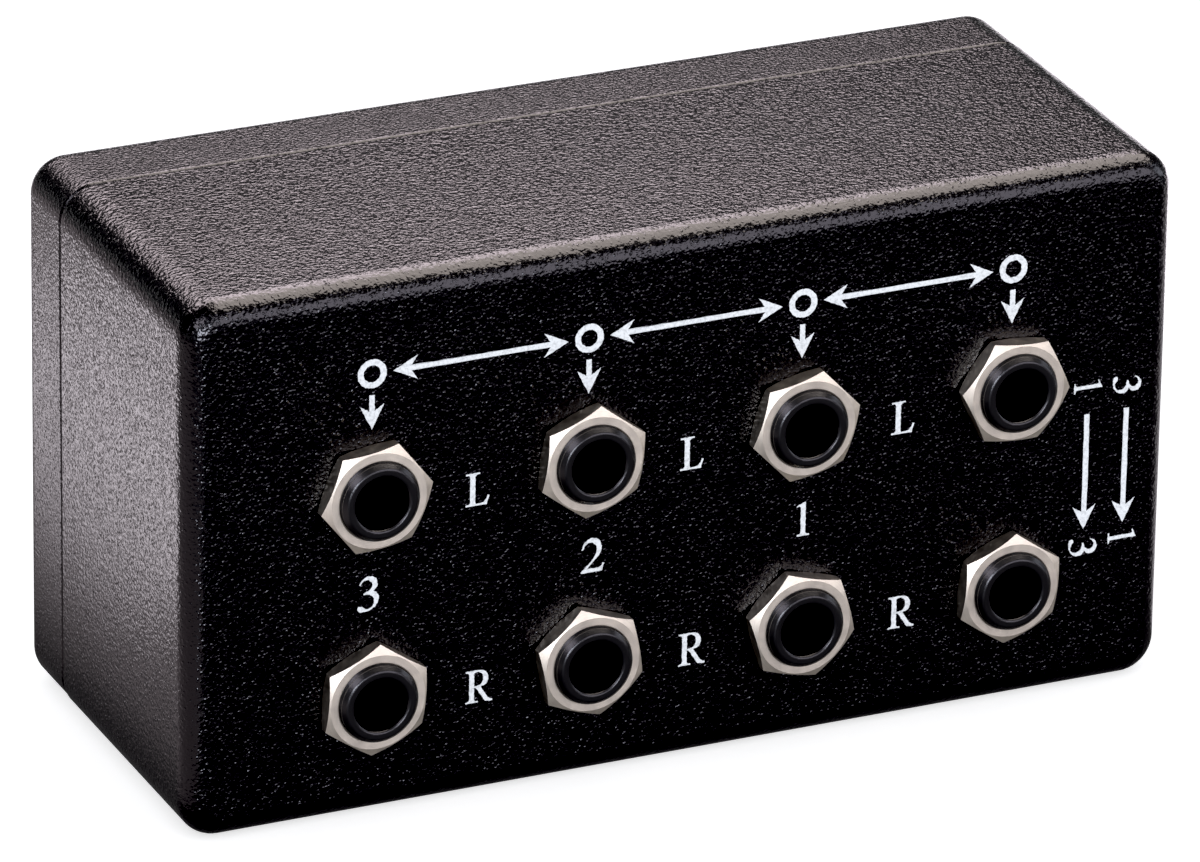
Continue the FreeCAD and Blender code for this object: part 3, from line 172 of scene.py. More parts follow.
class MetalSettings(bpy.types.PropertyGroup):
    """Nuts and other bright metal."""

    nickel: bpy.props.FloatVectorProperty(
        name="Nickel",
        description="Colour of the nickel plate",
        subtype="COLOR",
        default=(0.92, 0.85, 0.71),
    )
    roughness: bpy.props.FloatProperty(
        name="Roughness", description="Roughness of the turned faces", default=0.52
    )
    pitch: bpy.props.FloatProperty(
        name="Tool marks",
        description="Distance from one turning mark to the next",
        unit="LENGTH",
        default=0.09 * MM,
    )


class StudioSettings(bpy.types.PropertyGroup):
    """Camera and lights. Each softbox has its radiance here, under its own name."""

    place: bpy.props.FloatVectorProperty(
        name="Camera place",
        description="Where the camera stands",
        subtype="TRANSLATION",
        default=(-0.4784, -1.0585, 0.5469),
    )
    azimuth: bpy.props.FloatProperty(
        name="Camera turn", description="Degrees that it looks to the right", default=24.34
    )
    tilt: bpy.props.FloatProperty(
        name="Camera tilt", description="Degrees that it looks down", default=23.94
    )
    roll: bpy.props.FloatProperty(
        name="Camera roll", description="Degrees of roll", default=0.89
    )
    lens: bpy.props.FloatProperty(
        name="Lens", description="Focal length on a 36 mm wide sensor", default=326.1
    )
    overhead: bpy.props.FloatProperty(
        name="Overhead light", description="Radiance of the softbox overhead", default=5.2
    )
    awning: bpy.props.FloatProperty(
        name="Awning light", description="Radiance of the softbox over the front edge", default=4.2
    )
    left: bpy.props.FloatProperty(
        name="Left light", description="Radiance of the softbox high at the left", default=3.0
    )
    key: bpy.props.FloatProperty(
        name="Key light", description="Radiance of the softbox at the front left", default=10.0
    )
    front: bpy.props.FloatProperty(
        name="Front light", description="Radiance of the softbox at the front right", default=2.0
    )
    back: bpy.props.FloatProperty(
        name="Back sheet", description="Radiance of the sheet lying behind the box", default=1.6
    )
    right: bpy.props.FloatProperty(
        name="Right light", description="Radiance of the softbox at the right", default=1.5
    )
    sheet: bpy.props.FloatProperty(
        name="Right sheet", description="Radiance of the sheet lying right of the box", default=0.4
    )
    side: bpy.props.FloatProperty(
        name="Side strip", description="Radiance of the strip beside the left wall", default=1.9
    )
    halo: bpy.props.FloatProperty(
        name="Halo", description="Radiance of the dimmer sheet round that strip", default=0.3
    )
    sky: bpy.props.FloatProperty(
        name="Room light", description="Radiance of the room as matt surfaces see it", default=0.78
    )
    room: bpy.props.FloatProperty(
        name="Room", description="Radiance of the room as glossy surfaces see it", default=0.08
    )
    table: bpy.props.FloatProperty(
        name="Light table", description="Radiance that the floor gives of itself", default=0.65
    )
    card: bpy.props.FloatProperty(
        name="Dim card", description="Radiance of the floor as glossy surfaces see it", default=0.07
    )
    black: bpy.props.FloatProperty(
        name="Black point", description="Radiance that the picture shows as black", default=0.011
    )


SETTINGS = {
    "selector_case": CaseSettings,
    "selector_print": PrintSettings,
    "selector_metal": MetalSettings,
    "selector_studio": StudioSettings,
}


class Recipe:
    """A material's nodes, written one after the other."""

    def __init__(self, name):
        self.material = bpy.data.materials.new(name)
        self.material.use_nodes = True
        self.tree = self.material.node_tree
        self.tree.nodes.clear()
        where = self.add("ShaderNodeTexCoord")
        self.place, self.facing = where.outputs["Object"], where.outputs["Normal"]

    def add(self, kind, inputs=None, **settings):
        """A node, its settings, and its inputs given as values or as other nodes' outputs."""
        made = self.tree.nodes.new(kind)
        for key, value in settings.items():
            setattr(made, key, value)
        for key, value in (inputs or {}).items():
            if isinstance(value, bpy.types.NodeSocket):
                self.tree.links.new(value, made.inputs[key])
            else:
                made.inputs[key].default_value = value
        return made

    def stretch(self, scale, turn=(0, 0, 0), source=None):
        """Coordinates scaled along X, Y and Z."""
        inputs = {"Vector": source or self.place, "Scale": scale, "Rotation": turn}
        return self.add("ShaderNodeMapping", inputs).outputs["Vector"]

    def split(self, vector):
        """The outputs X, Y and Z of a vector."""
        return self.add("ShaderNodeSeparateXYZ", {0: vector}).outputs

    def noise(self, size, detail=3.0, rough=0.5, source=None, twist=0.0):
        """Soft noise whose blobs are about size across."""
        inputs = {
            "Vector": source or self.place,
            "Scale": 1.0 / size,
            "Detail": detail,
            "Roughness": rough,
            "Distortion": twist,
        }
        return self.add("ShaderNodeTexNoise", inputs).outputs["Fac"]

    def cells(self, size, feature="F1", output="Distance"):
        """Cells about size across."""
        inputs = {"Vector": self.place, "Scale": 1.0 / size}
        return self.add("ShaderNodeTexVoronoi", inputs, feature=feature).outputs[output]

    def calc(self, operation, first, second=0.5, third=0.0):
        """One step of arithmetic."""
        inputs = {0: first, 1: second, 2: third}
        return self.add("ShaderNodeMath", inputs, operation=operation).outputs[0]

    def spread(self, value, low, high, new_low, new_high):
        """Maps low to high onto a new range."""
        inputs = {
            "Value": value,
            "From Min": low,
            "From Max": high,
            "To Min": new_low,
            "To Max": new_high,
        }
        return self.add("ShaderNodeMapRange", inputs).outputs["Result"]

    def sway(self, value, middle, span):
        """A number that noise moves through a span about a middle."""
        return self.calc("MULTIPLY_ADD", value, span, middle - span / 2)

    def tones(self, value, first, second, low=0.3, high=0.7):
        """A first colour up to a low value and a second from a high one, blended between."""
        made = self.add("ShaderNodeValToRGB", {"Fac": value})
        for element, place, colour in zip(made.color_ramp.elements, (low, high), (first, second)):
            element.position = place
            element.color = (*colour, 1.0)
        return made.outputs["Color"]

    def blend(self, share, first, second):
        """A colour between two others."""
        # A colour mix has its colours at inputs 6 and 7, and its result at output 2
        inputs = {"Factor": share, 6: first, 7: second}
        return self.add("ShaderNodeMix", inputs, data_type="RGBA").outputs[2]

    def bump(self, height, distance, under=None):
        """Normals of a relief, on top of those under it."""
        inputs = {"Height": height, "Distance": distance}
        if under is not None:
            inputs["Normal"] = under
        return self.add("ShaderNodeBump", inputs).outputs["Normal"]

    def finish(self, **inputs):
        """Closes the material with one shader. Underscores in the names stand for spaces."""
        named = {key.replace("_", " "): value for key, value in inputs.items()}
        shader = self.add("ShaderNodeBsdfPrincipled", named)
        self.add("ShaderNodeOutputMaterial", {"Surface": shader.outputs["BSDF"]})
        return self.material


def shade(colour, factor):
    """A colour made lighter or darker."""
    return tuple(min(1.0, part * factor) for part in colour)


def grained_plastic(name, settings, scale=1.0, rough_add=0.0, rim=None):
    """Black plastic from a spark eroded mould: small bumps on soft waves, lower on the edges.

    Dust dulls the part that lies in front of rim, a place along Y.
    """
    bump_top, bump_foot = 0.05, 0.42
    bump_least, bump_more = 0.2, 1.2
    edge, face, edge_height = 0.85, 0.99, 0.72
    dust_fade = 0.15 * MM
    r = Recipe(name)
    pitch = settings.grain * scale
    turned = r.split(r.add("ShaderNodeVectorMath", {0: r.facing}, operation="ABSOLUTE").outputs[0])
    flatness = r.calc("MAXIMUM", turned["X"], r.calc("MAXIMUM", turned["Y"], turned["Z"]))
    worn = r.spread(flatness, edge, face, edge_height, 1.0)
    waves = r.calc("MULTIPLY", r.noise(pitch, detail=1.0, rough=0.4), worn)
    bumps = r.spread(r.cells(pitch), bump_top, bump_foot, 1.0, 0.0)
    uneven = r.calc("MULTIPLY_ADD", r.cells(pitch, output="Color"), bump_more, bump_least)
    bumps = r.calc("MULTIPLY", r.calc("MULTIPLY", bumps, uneven), worn)
    normal = r.bump(waves, settings.waves * scale)
    normal = r.bump(bumps, settings.depth * scale, under=normal)
    patches = r.noise(9 * MM)
    rough = r.sway(patches, settings.roughness + rough_add, 0.08)
    dark, light = shade(settings.plastic, 0.8), shade(settings.plastic, 1.35)
    colour = r.tones(r.noise(2.5 * MM, detail=4.0), dark, light, low=0.35)
    haze = settings.haze
    if rim is not None:
        dust = r.spread(r.split(r.place)["Y"], rim, rim + dust_fade, 1.0, 0.0)
        rough = r.calc("MAXIMUM", rough, dust)
        haze = r.calc("MULTIPLY_ADD", dust, -settings.haze, settings.haze)
    return r.finish(
        Base_Color=colour,
        Roughness=rough,
        Normal=normal,
        Specular_IOR_Level=settings.gloss,
        Coat_Weight=haze,
        Coat_Roughness=0.28,
        Coat_Normal=normal,
    )


def turned_metal(name, settings, centre, colour, rough):
    """Metal turned on a lathe about an axis along Y through centre, with duller sides whose darker colour is
    painted shade.
    """
    groove, scratch = 0.006 * MM, 0.003 * MM
    groove_share, blotch_share = 0.35, 0.65
    side_turn, face_turn, side_rough = 0.3, 0.7, 0.34
    rough_span = 0.16
    r = Recipe(name)
    across = r.add("ShaderNodeVectorMath", {0: r.place, 1: centre}, operation="SUBTRACT")
    flat = r.stretch((1.0, 0.0, 1.0), source=across.outputs[0])
    radius = r.add("ShaderNodeVectorMath", {0: flat}, operation="LENGTH").outputs["Value"]
    rings = r.add(
        "ShaderNodeTexNoise",
        {"W": r.calc("DIVIDE", radius, settings.pitch), "Scale": 1.0, "Detail": 2.0},
        noise_dimensions="1D",
    ).outputs["Fac"]
    blotch = r.noise(1.6 * MM, detail=4.0, rough=0.6)
    scratches = r.noise(0.5 * MM, detail=2.0, source=r.stretch((1.0, 1.0, 0.06), (0.3, 0.0, 0.7)))
    normal = r.bump(scratches, scratch, under=r.bump(rings, groove))
    stains = r.calc("MULTIPLY_ADD", rings, groove_share, r.calc("MULTIPLY", blotch, blotch_share))
    face_tone = r.tones(stains, shade(colour, 0.86), shade(colour, 1.08))
    # Faces that turn away from Y get a darker colour here: painted shade on the flanks
    shaded_side_tone = r.tones(blotch, shade(colour, 0.4), shade(colour, 0.8))
    turn = r.calc("ABSOLUTE", r.split(r.facing)["Y"])
    face = r.spread(turn, side_turn, face_turn, 0.0, 1.0)
    least = r.spread(face, 0.0, 1.0, side_rough - rough_span / 2, rough - rough_span / 2)
    return r.finish(
        Base_Color=r.blend(face, shaded_side_tone, face_tone),
        Metallic=1.0,
        Roughness=r.calc("MULTIPLY_ADD", blotch, rough_span, least),
        Normal=normal,
    )


def plated_metal(name, colour, rough, lump=0.8 * MM):
    """Plain plated or rolled metal with fine scratches and slight stains."""
    r = Recipe(name)
    stains = r.noise(lump, detail=4.0, rough=0.6)
    scratches = r.noise(0.25 * MM, detail=2.0, source=r.stretch((1.0, 0.08, 1.0), (0.2, 0.1, 0.4)))
    return r.finish(
        Base_Color=r.tones(stains, shade(colour, 0.8), shade(colour, 1.1)),
        Metallic=1.0,
        Roughness=r.sway(stains, rough, 0.18),
        Normal=r.bump(scratches, 0.004 * MM),
    )


def smooth_plastic(name, colour, rough, ripple=0.01 * MM, haze=0.0):
    """Moulded plastic with a trace of flow lines and handling marks."""
    r = Recipe(name)
    lines = r.noise(4 * MM, source=r.stretch((1.0, 0.3, 1.0)))
    specks = r.noise(0.18 * MM, detail=2.0)
    normal = r.bump(specks, ripple)
    return r.finish(
        Base_Color=r.tones(lines, shade(colour, 0.82), shade(colour, 1.2)),
        Roughness=r.sway(specks, rough, 0.14),
        Normal=normal,
        Coat_Weight=haze,
        Coat_Roughness=0.5,
        Coat_Normal=normal,
    )


def board_resist(name):
    """Green solder resist over copper tracks."""
    track_edge, resist_edge = 0.06, 0.1
    resist, copper = (0.012, 0.09, 0.03), (0.03, 0.2, 0.06)
    r = Recipe(name)
    borders = r.cells(3.2 * MM, feature="DISTANCE_TO_EDGE")
    track = r.spread(borders, track_edge, resist_edge, 1.0, 0.0)
    weave = r.add(
        "ShaderNodeTexWave", {"Vector": r.place, "Scale": 300.0, "Distortion": 1.5, "Detail": 2.0}
    ).outputs["Fac"]
    return r.finish(
        Base_Color=r.tones(track, resist, copper, low=0.2, high=0.9),
        Roughness=r.sway(weave, 0.27, 0.1),
        Normal=r.bump(r.calc("MULTIPLY_ADD", weave, 0.15, track), 0.03 * MM),
    )


def fibre_board(name):
    """Brown paper board soaked in resin, with its fibres showing."""
    dark, light = (0.14, 0.06, 0.02), (0.32, 0.17, 0.07)
    r = Recipe(name)
    fibres = r.noise(0.9 * MM, detail=5.0, rough=0.65, source=r.stretch((1.0, 1.0, 0.2)))
    return r.finish(
        Base_Color=r.tones(fibres, dark, light),
        Roughness=r.sway(fibres, 0.45, 0.2),
        Normal=r.bump(fibres, 0.02 * MM),
    )


def cast_zinc(name):
    """Die cast zinc: a dull skin with flow marks."""
    dark, light = (0.38, 0.38, 0.37), (0.6, 0.6, 0.58)
    r = Recipe(name)
    skin = r.noise(1.1 * MM, detail=5.0, rough=0.7, twist=0.6)
    return r.finish(
        Base_Color=r.tones(skin, dark, light),
        Metallic=1.0,
        Roughness=r.sway(skin, 0.425, 0.25),
        Normal=r.bump(skin, 0.03 * MM),
    )


def printing_ink(name, settings, case):
    """Screen printed white ink that follows the grain under it, thin on the tops of the bumps."""
    r = Recipe(name)
    grain = r.noise(case.grain * 0.9, detail=2.0)
    return r.finish(
        Base_Color=r.tones(grain, shade(settings.ink, 0.72), tuple(settings.ink), high=0.55),
        Roughness=r.sway(grain, 0.5, 0.2),
        Normal=r.bump(grain, 0.05 * MM),
        Specular_IOR_Level=0.3,
    )


def paper(name, glow):
    """The pale floor: matt paper lit from below too, with hardly any tooth."""
    dark, light = (0.83, 0.83, 0.835), (0.86, 0.86, 0.86)
    r = Recipe(name)
    tooth = r.noise(1.2 * MM)
    return r.finish(
        Base_Color=r.tones(r.noise(180 * MM, detail=2.0), dark, light),
        Roughness=r.sway(tooth, 0.9, 0.1),
        Normal=r.bump(tooth, 0.02 * MM),
        Specular_IOR_Level=0.1,
        Emission_Color=(1, 1, 1, 1),
        Emission_Strength=glow,
    )


def glow_card(name, radiance):
    """Dim card that glossy surfaces see in place of the white floor."""
    dark, light = (0.9, 0.88, 0.9), (1.0, 0.98, 1.0)
    r = Recipe(name)
    return r.finish(
        Base_Color=(0, 0, 0, 1),
        Roughness=0.9,
        Emission_Color=r.tones(r.noise(1.5 * MM, detail=2.0), dark, light),
        Emission_Strength=radiance,
    )


def dress(node, material):
    """Gives a CAD node its material."""
    materials = frame["nodes"][node].data.materials
    materials.clear()
    materials.append(material)


# Serif figures and letters, as closed loops in parts of the letter's height. A point is x, y and
# a third word, "s", where the line runs through smoothly.
GLYPHS = {
    "L": [
        [
            (0.02, 0), (0.66, 0), (0.73, 0.27), (0.695, 0.28), (0.62, 0.13, "s"), (0.5, 0.055, "s"),
            (0.34, 0.05), (0.3, 0.09), (0.3, 0.9), (0.325, 0.945), (0.44, 0.965), (0.44, 1.0),
            (0.02, 1.0), (0.02, 0.965), (0.13, 0.945), (0.155, 0.9), (0.155, 0.1), (0.13, 0.055),
            (0.02, 0.035),
        ]
    ],
    "R": [
        [
            (0.02, 0), (0.39, 0), (0.39, 0.035), (0.3, 0.055), (0.275, 0.1), (0.275, 0.46),
            (0.34, 0.46), (0.63, 0), (0.84, 0), (0.84, 0.035), (0.765, 0.06, "s"),
            (0.7, 0.12, "s"), (0.475, 0.475), (0.61, 0.53, "s"), (0.69, 0.63, "s"),
            (0.705, 0.74, "s"), (0.665, 0.88, "s"), (0.55, 0.97, "s"), (0.37, 1.0), (0.02, 1.0),
            (0.02, 0.965), (0.11, 0.945), (0.135, 0.9), (0.135, 0.1), (0.11, 0.055), (0.02, 0.035),
        ],
        [
            (0.275, 0.51), (0.37, 0.51), (0.49, 0.555, "s"), (0.555, 0.65, "s"), (0.565, 0.75, "s"),
            (0.53, 0.87, "s"), (0.43, 0.945, "s"), (0.33, 0.955), (0.275, 0.93),
        ],
    ],
    "1": [
        [
            (0.02, 0), (0.38, 0), (0.38, 0.03), (0.285, 0.05), (0.262, 0.1), (0.262, 1.0),
            (0.235, 1.0), (0.0, 0.89), (0.0, 0.86), (0.075, 0.885, "s"), (0.12, 0.865, "s"),
            (0.132, 0.82), (0.132, 0.1), (0.11, 0.05), (0.02, 0.03),
        ]
    ],
    "2": [
        [
            (0.0, 0.0), (0.61, 0.0), (0.68, 0.22), (0.645, 0.225), (0.6, 0.14, "s"),
            (0.53, 0.11), (0.17, 0.11), (0.42, 0.37, "s"), (0.56, 0.54, "s"), (0.6, 0.71, "s"),
            (0.53, 0.91, "s"), (0.33, 1.0, "s"), (0.12, 0.91, "s"), (0.02, 0.7),
            (0.055, 0.69), (0.13, 0.82, "s"), (0.265, 0.88, "s"), (0.41, 0.81, "s"),
            (0.465, 0.66, "s"), (0.41, 0.46, "s"), (0.27, 0.28, "s"), (0.0, 0.03),
        ]
    ],
    "3": [
        [
            (0.06, 0.78), (0.09, 0.765), (0.165, 0.865, "s"), (0.285, 0.905, "s"),
            (0.4, 0.85, "s"), (0.445, 0.745, "s"), (0.385, 0.61, "s"), (0.19, 0.525),
            (0.19, 0.49), (0.37, 0.455, "s"), (0.465, 0.37, "s"), (0.5, 0.255, "s"),
            (0.45, 0.11, "s"), (0.32, 0.045, "s"), (0.215, 0.075, "s"), (0.12, 0.14, "s"),
            (0.04, 0.14, "s"), (0.01, 0.08, "s"), (0.06, 0.01, "s"), (0.19, -0.015, "s"),
            (0.41, 0.03, "s"), (0.565, 0.155, "s"), (0.625, 0.33, "s"), (0.585, 0.47, "s"),
            (0.455, 0.565), (0.56, 0.66, "s"), (0.59, 0.78, "s"), (0.535, 0.92, "s"),
            (0.36, 1.0, "s"), (0.18, 0.94, "s"),
        ]
    ],
}

# The signs' line width, arrowhead length and half its width, and the share of the head's length
# at which its barbs come back to the shaft
RULE, HEAD, HALF_HEAD, NECK = 0.62 * MM, 2.9 * MM, 1.45 * MM, 0.74


def glyph_loops(letter, height, x=0.0, y=0.0):
    """A letter's loops with its lower left corner at x, y."""
    return [
        [(x + px * height, y + py * height, *kind) for px, py, *kind in loop]
        for loop in GLYPHS[letter]
    ]


def ring(radius):
    """A loop of eight smooth points round the origin."""
    turns = [i * math.pi / 4 for i in range(8)]
    return [(radius * math.cos(turn), radius * math.sin(turn), "s") for turn in turns]


def arrow_side(length):
    """The upper side of an arrow that points along +X, from its shaft to its point."""
    return [(length - HEAD * NECK, RULE / 2), (length - HEAD, HALF_HEAD), (length, 0)]


def arrow_loop(length):
    """An arrow from the origin along +X."""
    upper = [(0, RULE / 2)] + arrow_side(length)
    return upper + [(x, -y) for x, y in reversed(upper[:-1])]


def double_arrow_loop(length):
    """An arrow from the origin along +X with a head at each end."""
    right = arrow_side(length)
    upper = [(length - x, y) for x, y in reversed(right)] + right
    return upper + [(x, -y) for x, y in reversed(upper[1:-1])]


def point_down(loop):
    """A loop turned about its origin, so that what ran along +X runs down."""
    return [(y, -x, *kind) for x, y, *kind in loop]


def flat_print(name, loops, material, settings, place, right, up):
    """Prints closed loops, given in metres, on a flat face: place is their origin on the face."""
    ripples_per_mm = 4
    curve = bpy.data.curves.new(name, "CURVE")
    curve.dimensions = "2D"
    curve.fill_mode = "BOTH"
    curve.resolution_u = 16
    curve.extrude = settings.thickness / MM
    curve.offset = settings.bleed / MM
    for loop in [loops[0]] + [hole[::-1] for hole in loops[1:]]:
        spline = curve.splines.new("BEZIER")
        spline.bezier_points.add(len(loop) - 1)
        spline.use_cyclic_u = True
        for point, (x, y, *_) in zip(spline.bezier_points, loop):
            point.co = (x / MM, y / MM, 0)
        for point, (_, _, *smooth) in zip(spline.bezier_points, loop):
            point.handle_left_type = point.handle_right_type = "AUTO" if smooth else "VECTOR"
        for point, (_, _, *smooth) in zip(spline.bezier_points, loop):
            if not smooth:
                point.handle_left_type = point.handle_right_type = "FREE"
    holder = bpy.data.objects.new(name, curve)
    bpy.context.scene.collection.objects.link(holder)
    bpy.context.view_layer.update()
    graph = bpy.context.evaluated_depsgraph_get()
    mesh = bpy.data.meshes.new_from_object(holder.evaluated_get(graph))
    bpy.data.objects.remove(holder)
    bpy.data.curves.remove(curve)

    right, up = Vector(right), Vector(up)
    out = right.cross(up)
    noise.seed_set(EDGE_SEED)
    for vertex in mesh.vertices:
        x, y, z = vertex.co
        spot = Vector((x * ripples_per_mm, y * ripples_per_mm, len(name)))
        wander = noise.noise_vector(spot) * (settings.ragged / MM)
        x += wander.x
        y += wander.y
        vertex.co = Vector(place) + (right * x + up * y + out * z) * MM
    mesh.materials.clear()
    mesh.materials.append(material)
    piece = bpy.data.objects.new(name, mesh)
    bpy.context.scene.collection.objects.link(piece)
    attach(piece, "root")


class SELECTOR_OT_case(bpy.types.Operator):
    """Give the case its moulded grain"""

    bl_idname = "selector.case"
    bl_label = "Case"

    def execute(self, context):
        settings = context.scene.selector_case
        dress("case_shell", grained_plastic("grained_shell", settings))
        rim = LID_LOW.y + 0.45 * MM
        lid = grained_plastic("grained_lid", settings, scale=0.82, rough_add=0.04, rim=rim)
        dress("case_lid", lid)
        return {"FINISHED"}


class SELECTOR_OT_jacks(bpy.types.Operator):
    """Finish the nuts, the jack bodies and the contacts inside them"""

    bl_idname = "selector.jacks"
    bl_label = "Jacks"

    def execute(self, context):
        metal = context.scene.selector_metal
        nickel = tuple(metal.nickel)
        nylon = smooth_plastic("black_nylon", (0.003, 0.0028, 0.0034), 0.24, haze=0.4)
        leaf = plated_metal("silvered_leaf", (0.78, 0.75, 0.68), 0.28)
        for name, place in SOCKETS.items():
            nut = turned_metal(f"nickel_{name}", metal, place, nickel, metal.roughness)
            dress(f"jack_nut_{name}", nut)
            dress(f"jack_body_{name}", nylon)
            for stem in ("tip_spring_", "ring_spring_", "sleeve_contact_"):
                dress(stem + name, leaf)
        return {"FINISHED"}


class SELECTOR_OT_switch(bpy.types.Operator):
    """Finish the rotary switch and the circuit board"""

    bl_idname = "selector.switch"
    bl_label = "Switch and board"

    def execute(self, context):
        metal = context.scene.selector_metal
        nickel, grey = tuple(metal.nickel), (0.8, 0.8, 0.8)
        silver = plated_metal("silver_contact", (0.8, 0.78, 0.74), 0.25)
        finishes = {
            "circuit_board": board_resist("green_board"),
            "switch_body": cast_zinc("cast_zinc"),
            "switch_wafer": fibre_board("brown_board"),
            "switch_rotor": smooth_plastic("white_acetal", (0.72, 0.71, 0.66), 0.4),
            "switch_shaft": turned_metal("turned_aluminium", metal, SWITCH_AXIS, grey, 0.25),
            "stop_ring": plated_metal("zinc_plate_ring", (0.6, 0.62, 0.64), 0.35),
            "lock_washer": plated_metal("zinc_plate_washer", (0.55, 0.56, 0.58), 0.38),
            "switch_nut": turned_metal(
                "nickel_switch_nut", metal, SWITCH_AXIS, nickel, metal.roughness
            ),
            "detent_balls": plated_metal("polished_steel", (0.62, 0.62, 0.62), 0.14),
            "detent_springs": plated_metal("spring_wire", (0.5, 0.5, 0.5), 0.25),
            "switch_contacts": silver,
            "switch_commons": silver,
            "switch_wipers": silver,
        }
        for name, material in finishes.items():
            dress(name, material)
        return {"FINISHED"}


class SELECTOR_OT_knob(bpy.types.Operator):
    """Finish the knob, its index line and the screws"""

    bl_idname = "selector.knob"
    bl_label = "Knob and screws"

    def execute(self, context):
        dress("knob", smooth_plastic("satin_knob", (0.008, 0.008, 0.0085), 0.42, ripple=0.02 * MM))
        dress("knob_index", smooth_plastic("index_paint", (0.8, 0.81, 0.8), 0.45))
        blackened = plated_metal("black_zinc", (0.09, 0.09, 0.1), 0.42, lump=0.5 * MM)
        dress("knob_grub_screw", blackened)
        dress("lid_screws", blackened)
        return {"FINISHED"}


def print_labels(stamp, settings, columns):
    """The numbers between the rows, and L and R beside the jacks."""
    number_foot, beside_left, beside_right = 25.85 * MM, 11.6 * MM, 11.8 * MM
    left_z = SOCKETS["3_left"].z - 3.75 * MM
    right_z = SOCKETS["3_right"].z - 3.4 * MM
    number_x = {"3": -1.7 * MM, "2": -0.65 * MM, "1": -0.2 * MM}
    for column, shift in number_x.items():
        loops = glyph_loops(column, settings.number_height)
        stamp(f"number_{column}", loops, columns[column] + shift, number_foot)
    for column in number_x:
        x, height = columns[column], settings.letter_height
        stamp(f"left_{column}", glyph_loops("L", height), x + beside_left, left_z)
        stamp(f"right_{column}", glyph_loops("R", height), x + beside_right, right_z)


def print_flow(stamp, columns):
    """A ring over each upper jack, an arrow down to the jack, and arrows from ring to ring."""
    level, drop_end = 55.2 * MM, 48.4 * MM
    outer, inner, gap = 1.75 * MM, 1.05 * MM, 0.9 * MM
    clear = outer + gap
    for name, x in columns.items():
        stamp(f"flow_ring_{name}", [ring(outer), ring(inner)], x, level)
        start = level - clear
        stamp(f"flow_drop_{name}", [point_down(arrow_loop(start - drop_end))], x, start)
    names = list(columns)
    for first, last in zip(names, names[1:]):
        start = columns[first] + clear
        loop = double_arrow_loop(columns[last] - clear - start)
        stamp(f"flow_link_{first}_{last}", [loop], start, level)


def print_side(stamp):
    """Two lines of signs that run down the right end: from 3 to 1, and from 1 to 3."""
    height, top = 3.6 * MM, 39.3 * MM
    arrow_start, arrow_length, gap = 4.2 * MM, 14.6 * MM, 1.2 * MM
    last_start = arrow_start + arrow_length + gap
    for name, x, first, last in (("in", 58.2 * MM, "3", "1"), ("out", 53.1 * MM, "1", "3")):
        arrow = [(px + arrow_start, py - height / 2) for px, py in arrow_loop(arrow_length)]
        signs = {
            "first": glyph_loops(first, height, 0, -height),
            "arrow": [arrow],
            "last": glyph_loops(last, height, last_start, -height),
        }
        for sign, loops in signs.items():
            stamp(f"side_{sign}_{name}", [point_down(loop) for loop in loops], x, top)


class SELECTOR_OT_front_print(bpy.types.Operator):
    """Print the numbers, letters and signs on the jack face"""

    bl_idname = "selector.front_print"
    bl_label = "Front printing"

    def execute(self, context):
        settings = context.scene.selector_print
        ink = printing_ink("white_ink", settings, context.scene.selector_case)
        columns = {name: SOCKETS[f"{name}_left"].x for name in ("3", "2", "1", "common")}

        def stamp(name, loops, x, z):
            """Prints loops on the jack face, with their origin at x, z."""
            place = (x, SHELL_FACE_Y, z)
            flat_print(name, loops, ink, settings, place, (1, 0, 0), (0, 0, 1))

        print_labels(stamp, settings, columns)
        print_flow(stamp, columns)
        print_side(stamp)
        return {"FINISHED"}


class SELECTOR_OT_lid_print(bpy.types.Operator):
    """Print the three positions round the knob"""

    bl_idname = "selector.lid_print"
    bl_label = "Lid printing"

    def execute(self, context):
        settings = context.scene.selector_print
        ink = printing_ink("white_ink_lid", settings, context.scene.selector_case)
        axis = Vector((SWITCH_AXIS.x, LID_HIGH.y, SWITCH_AXIS.z))
        right, up = (-1, 0, 0), (0, 0, 1)
        height = settings.number_height
        tick_from, tick_to, number_at = 12.8 * MM, 15.2 * MM, 19.0 * MM
        half_tick = 0.3 * MM
        # Each position's number, its turn in degrees, and the number's width in parts of its height
        for number, degrees, width in (("1", -30.0, 0.38), ("2", 0.0, 0.68), ("3", 30.0, 0.62)):
            angle = math.radians(degrees)
            along = Vector((math.sin(angle), math.cos(angle)))
            side = Vector((along.y, -along.x)) * half_tick
            near, far = along * tick_from, along * tick_to
            tick = [tuple(near + side), tuple(far + side), tuple(far - side), tuple(near - side)]
            flat_print(f"tick_{number}", [tick], ink, settings, axis, right, up)
            spot = along * number_at
            x, y = spot.x - width * height / 2, spot.y - height / 2
            loops = glyph_loops(number, height, x, y)
            flat_print(f"position_{number}", loops, ink, settings, axis, right, up)
        return {"FINISHED"}


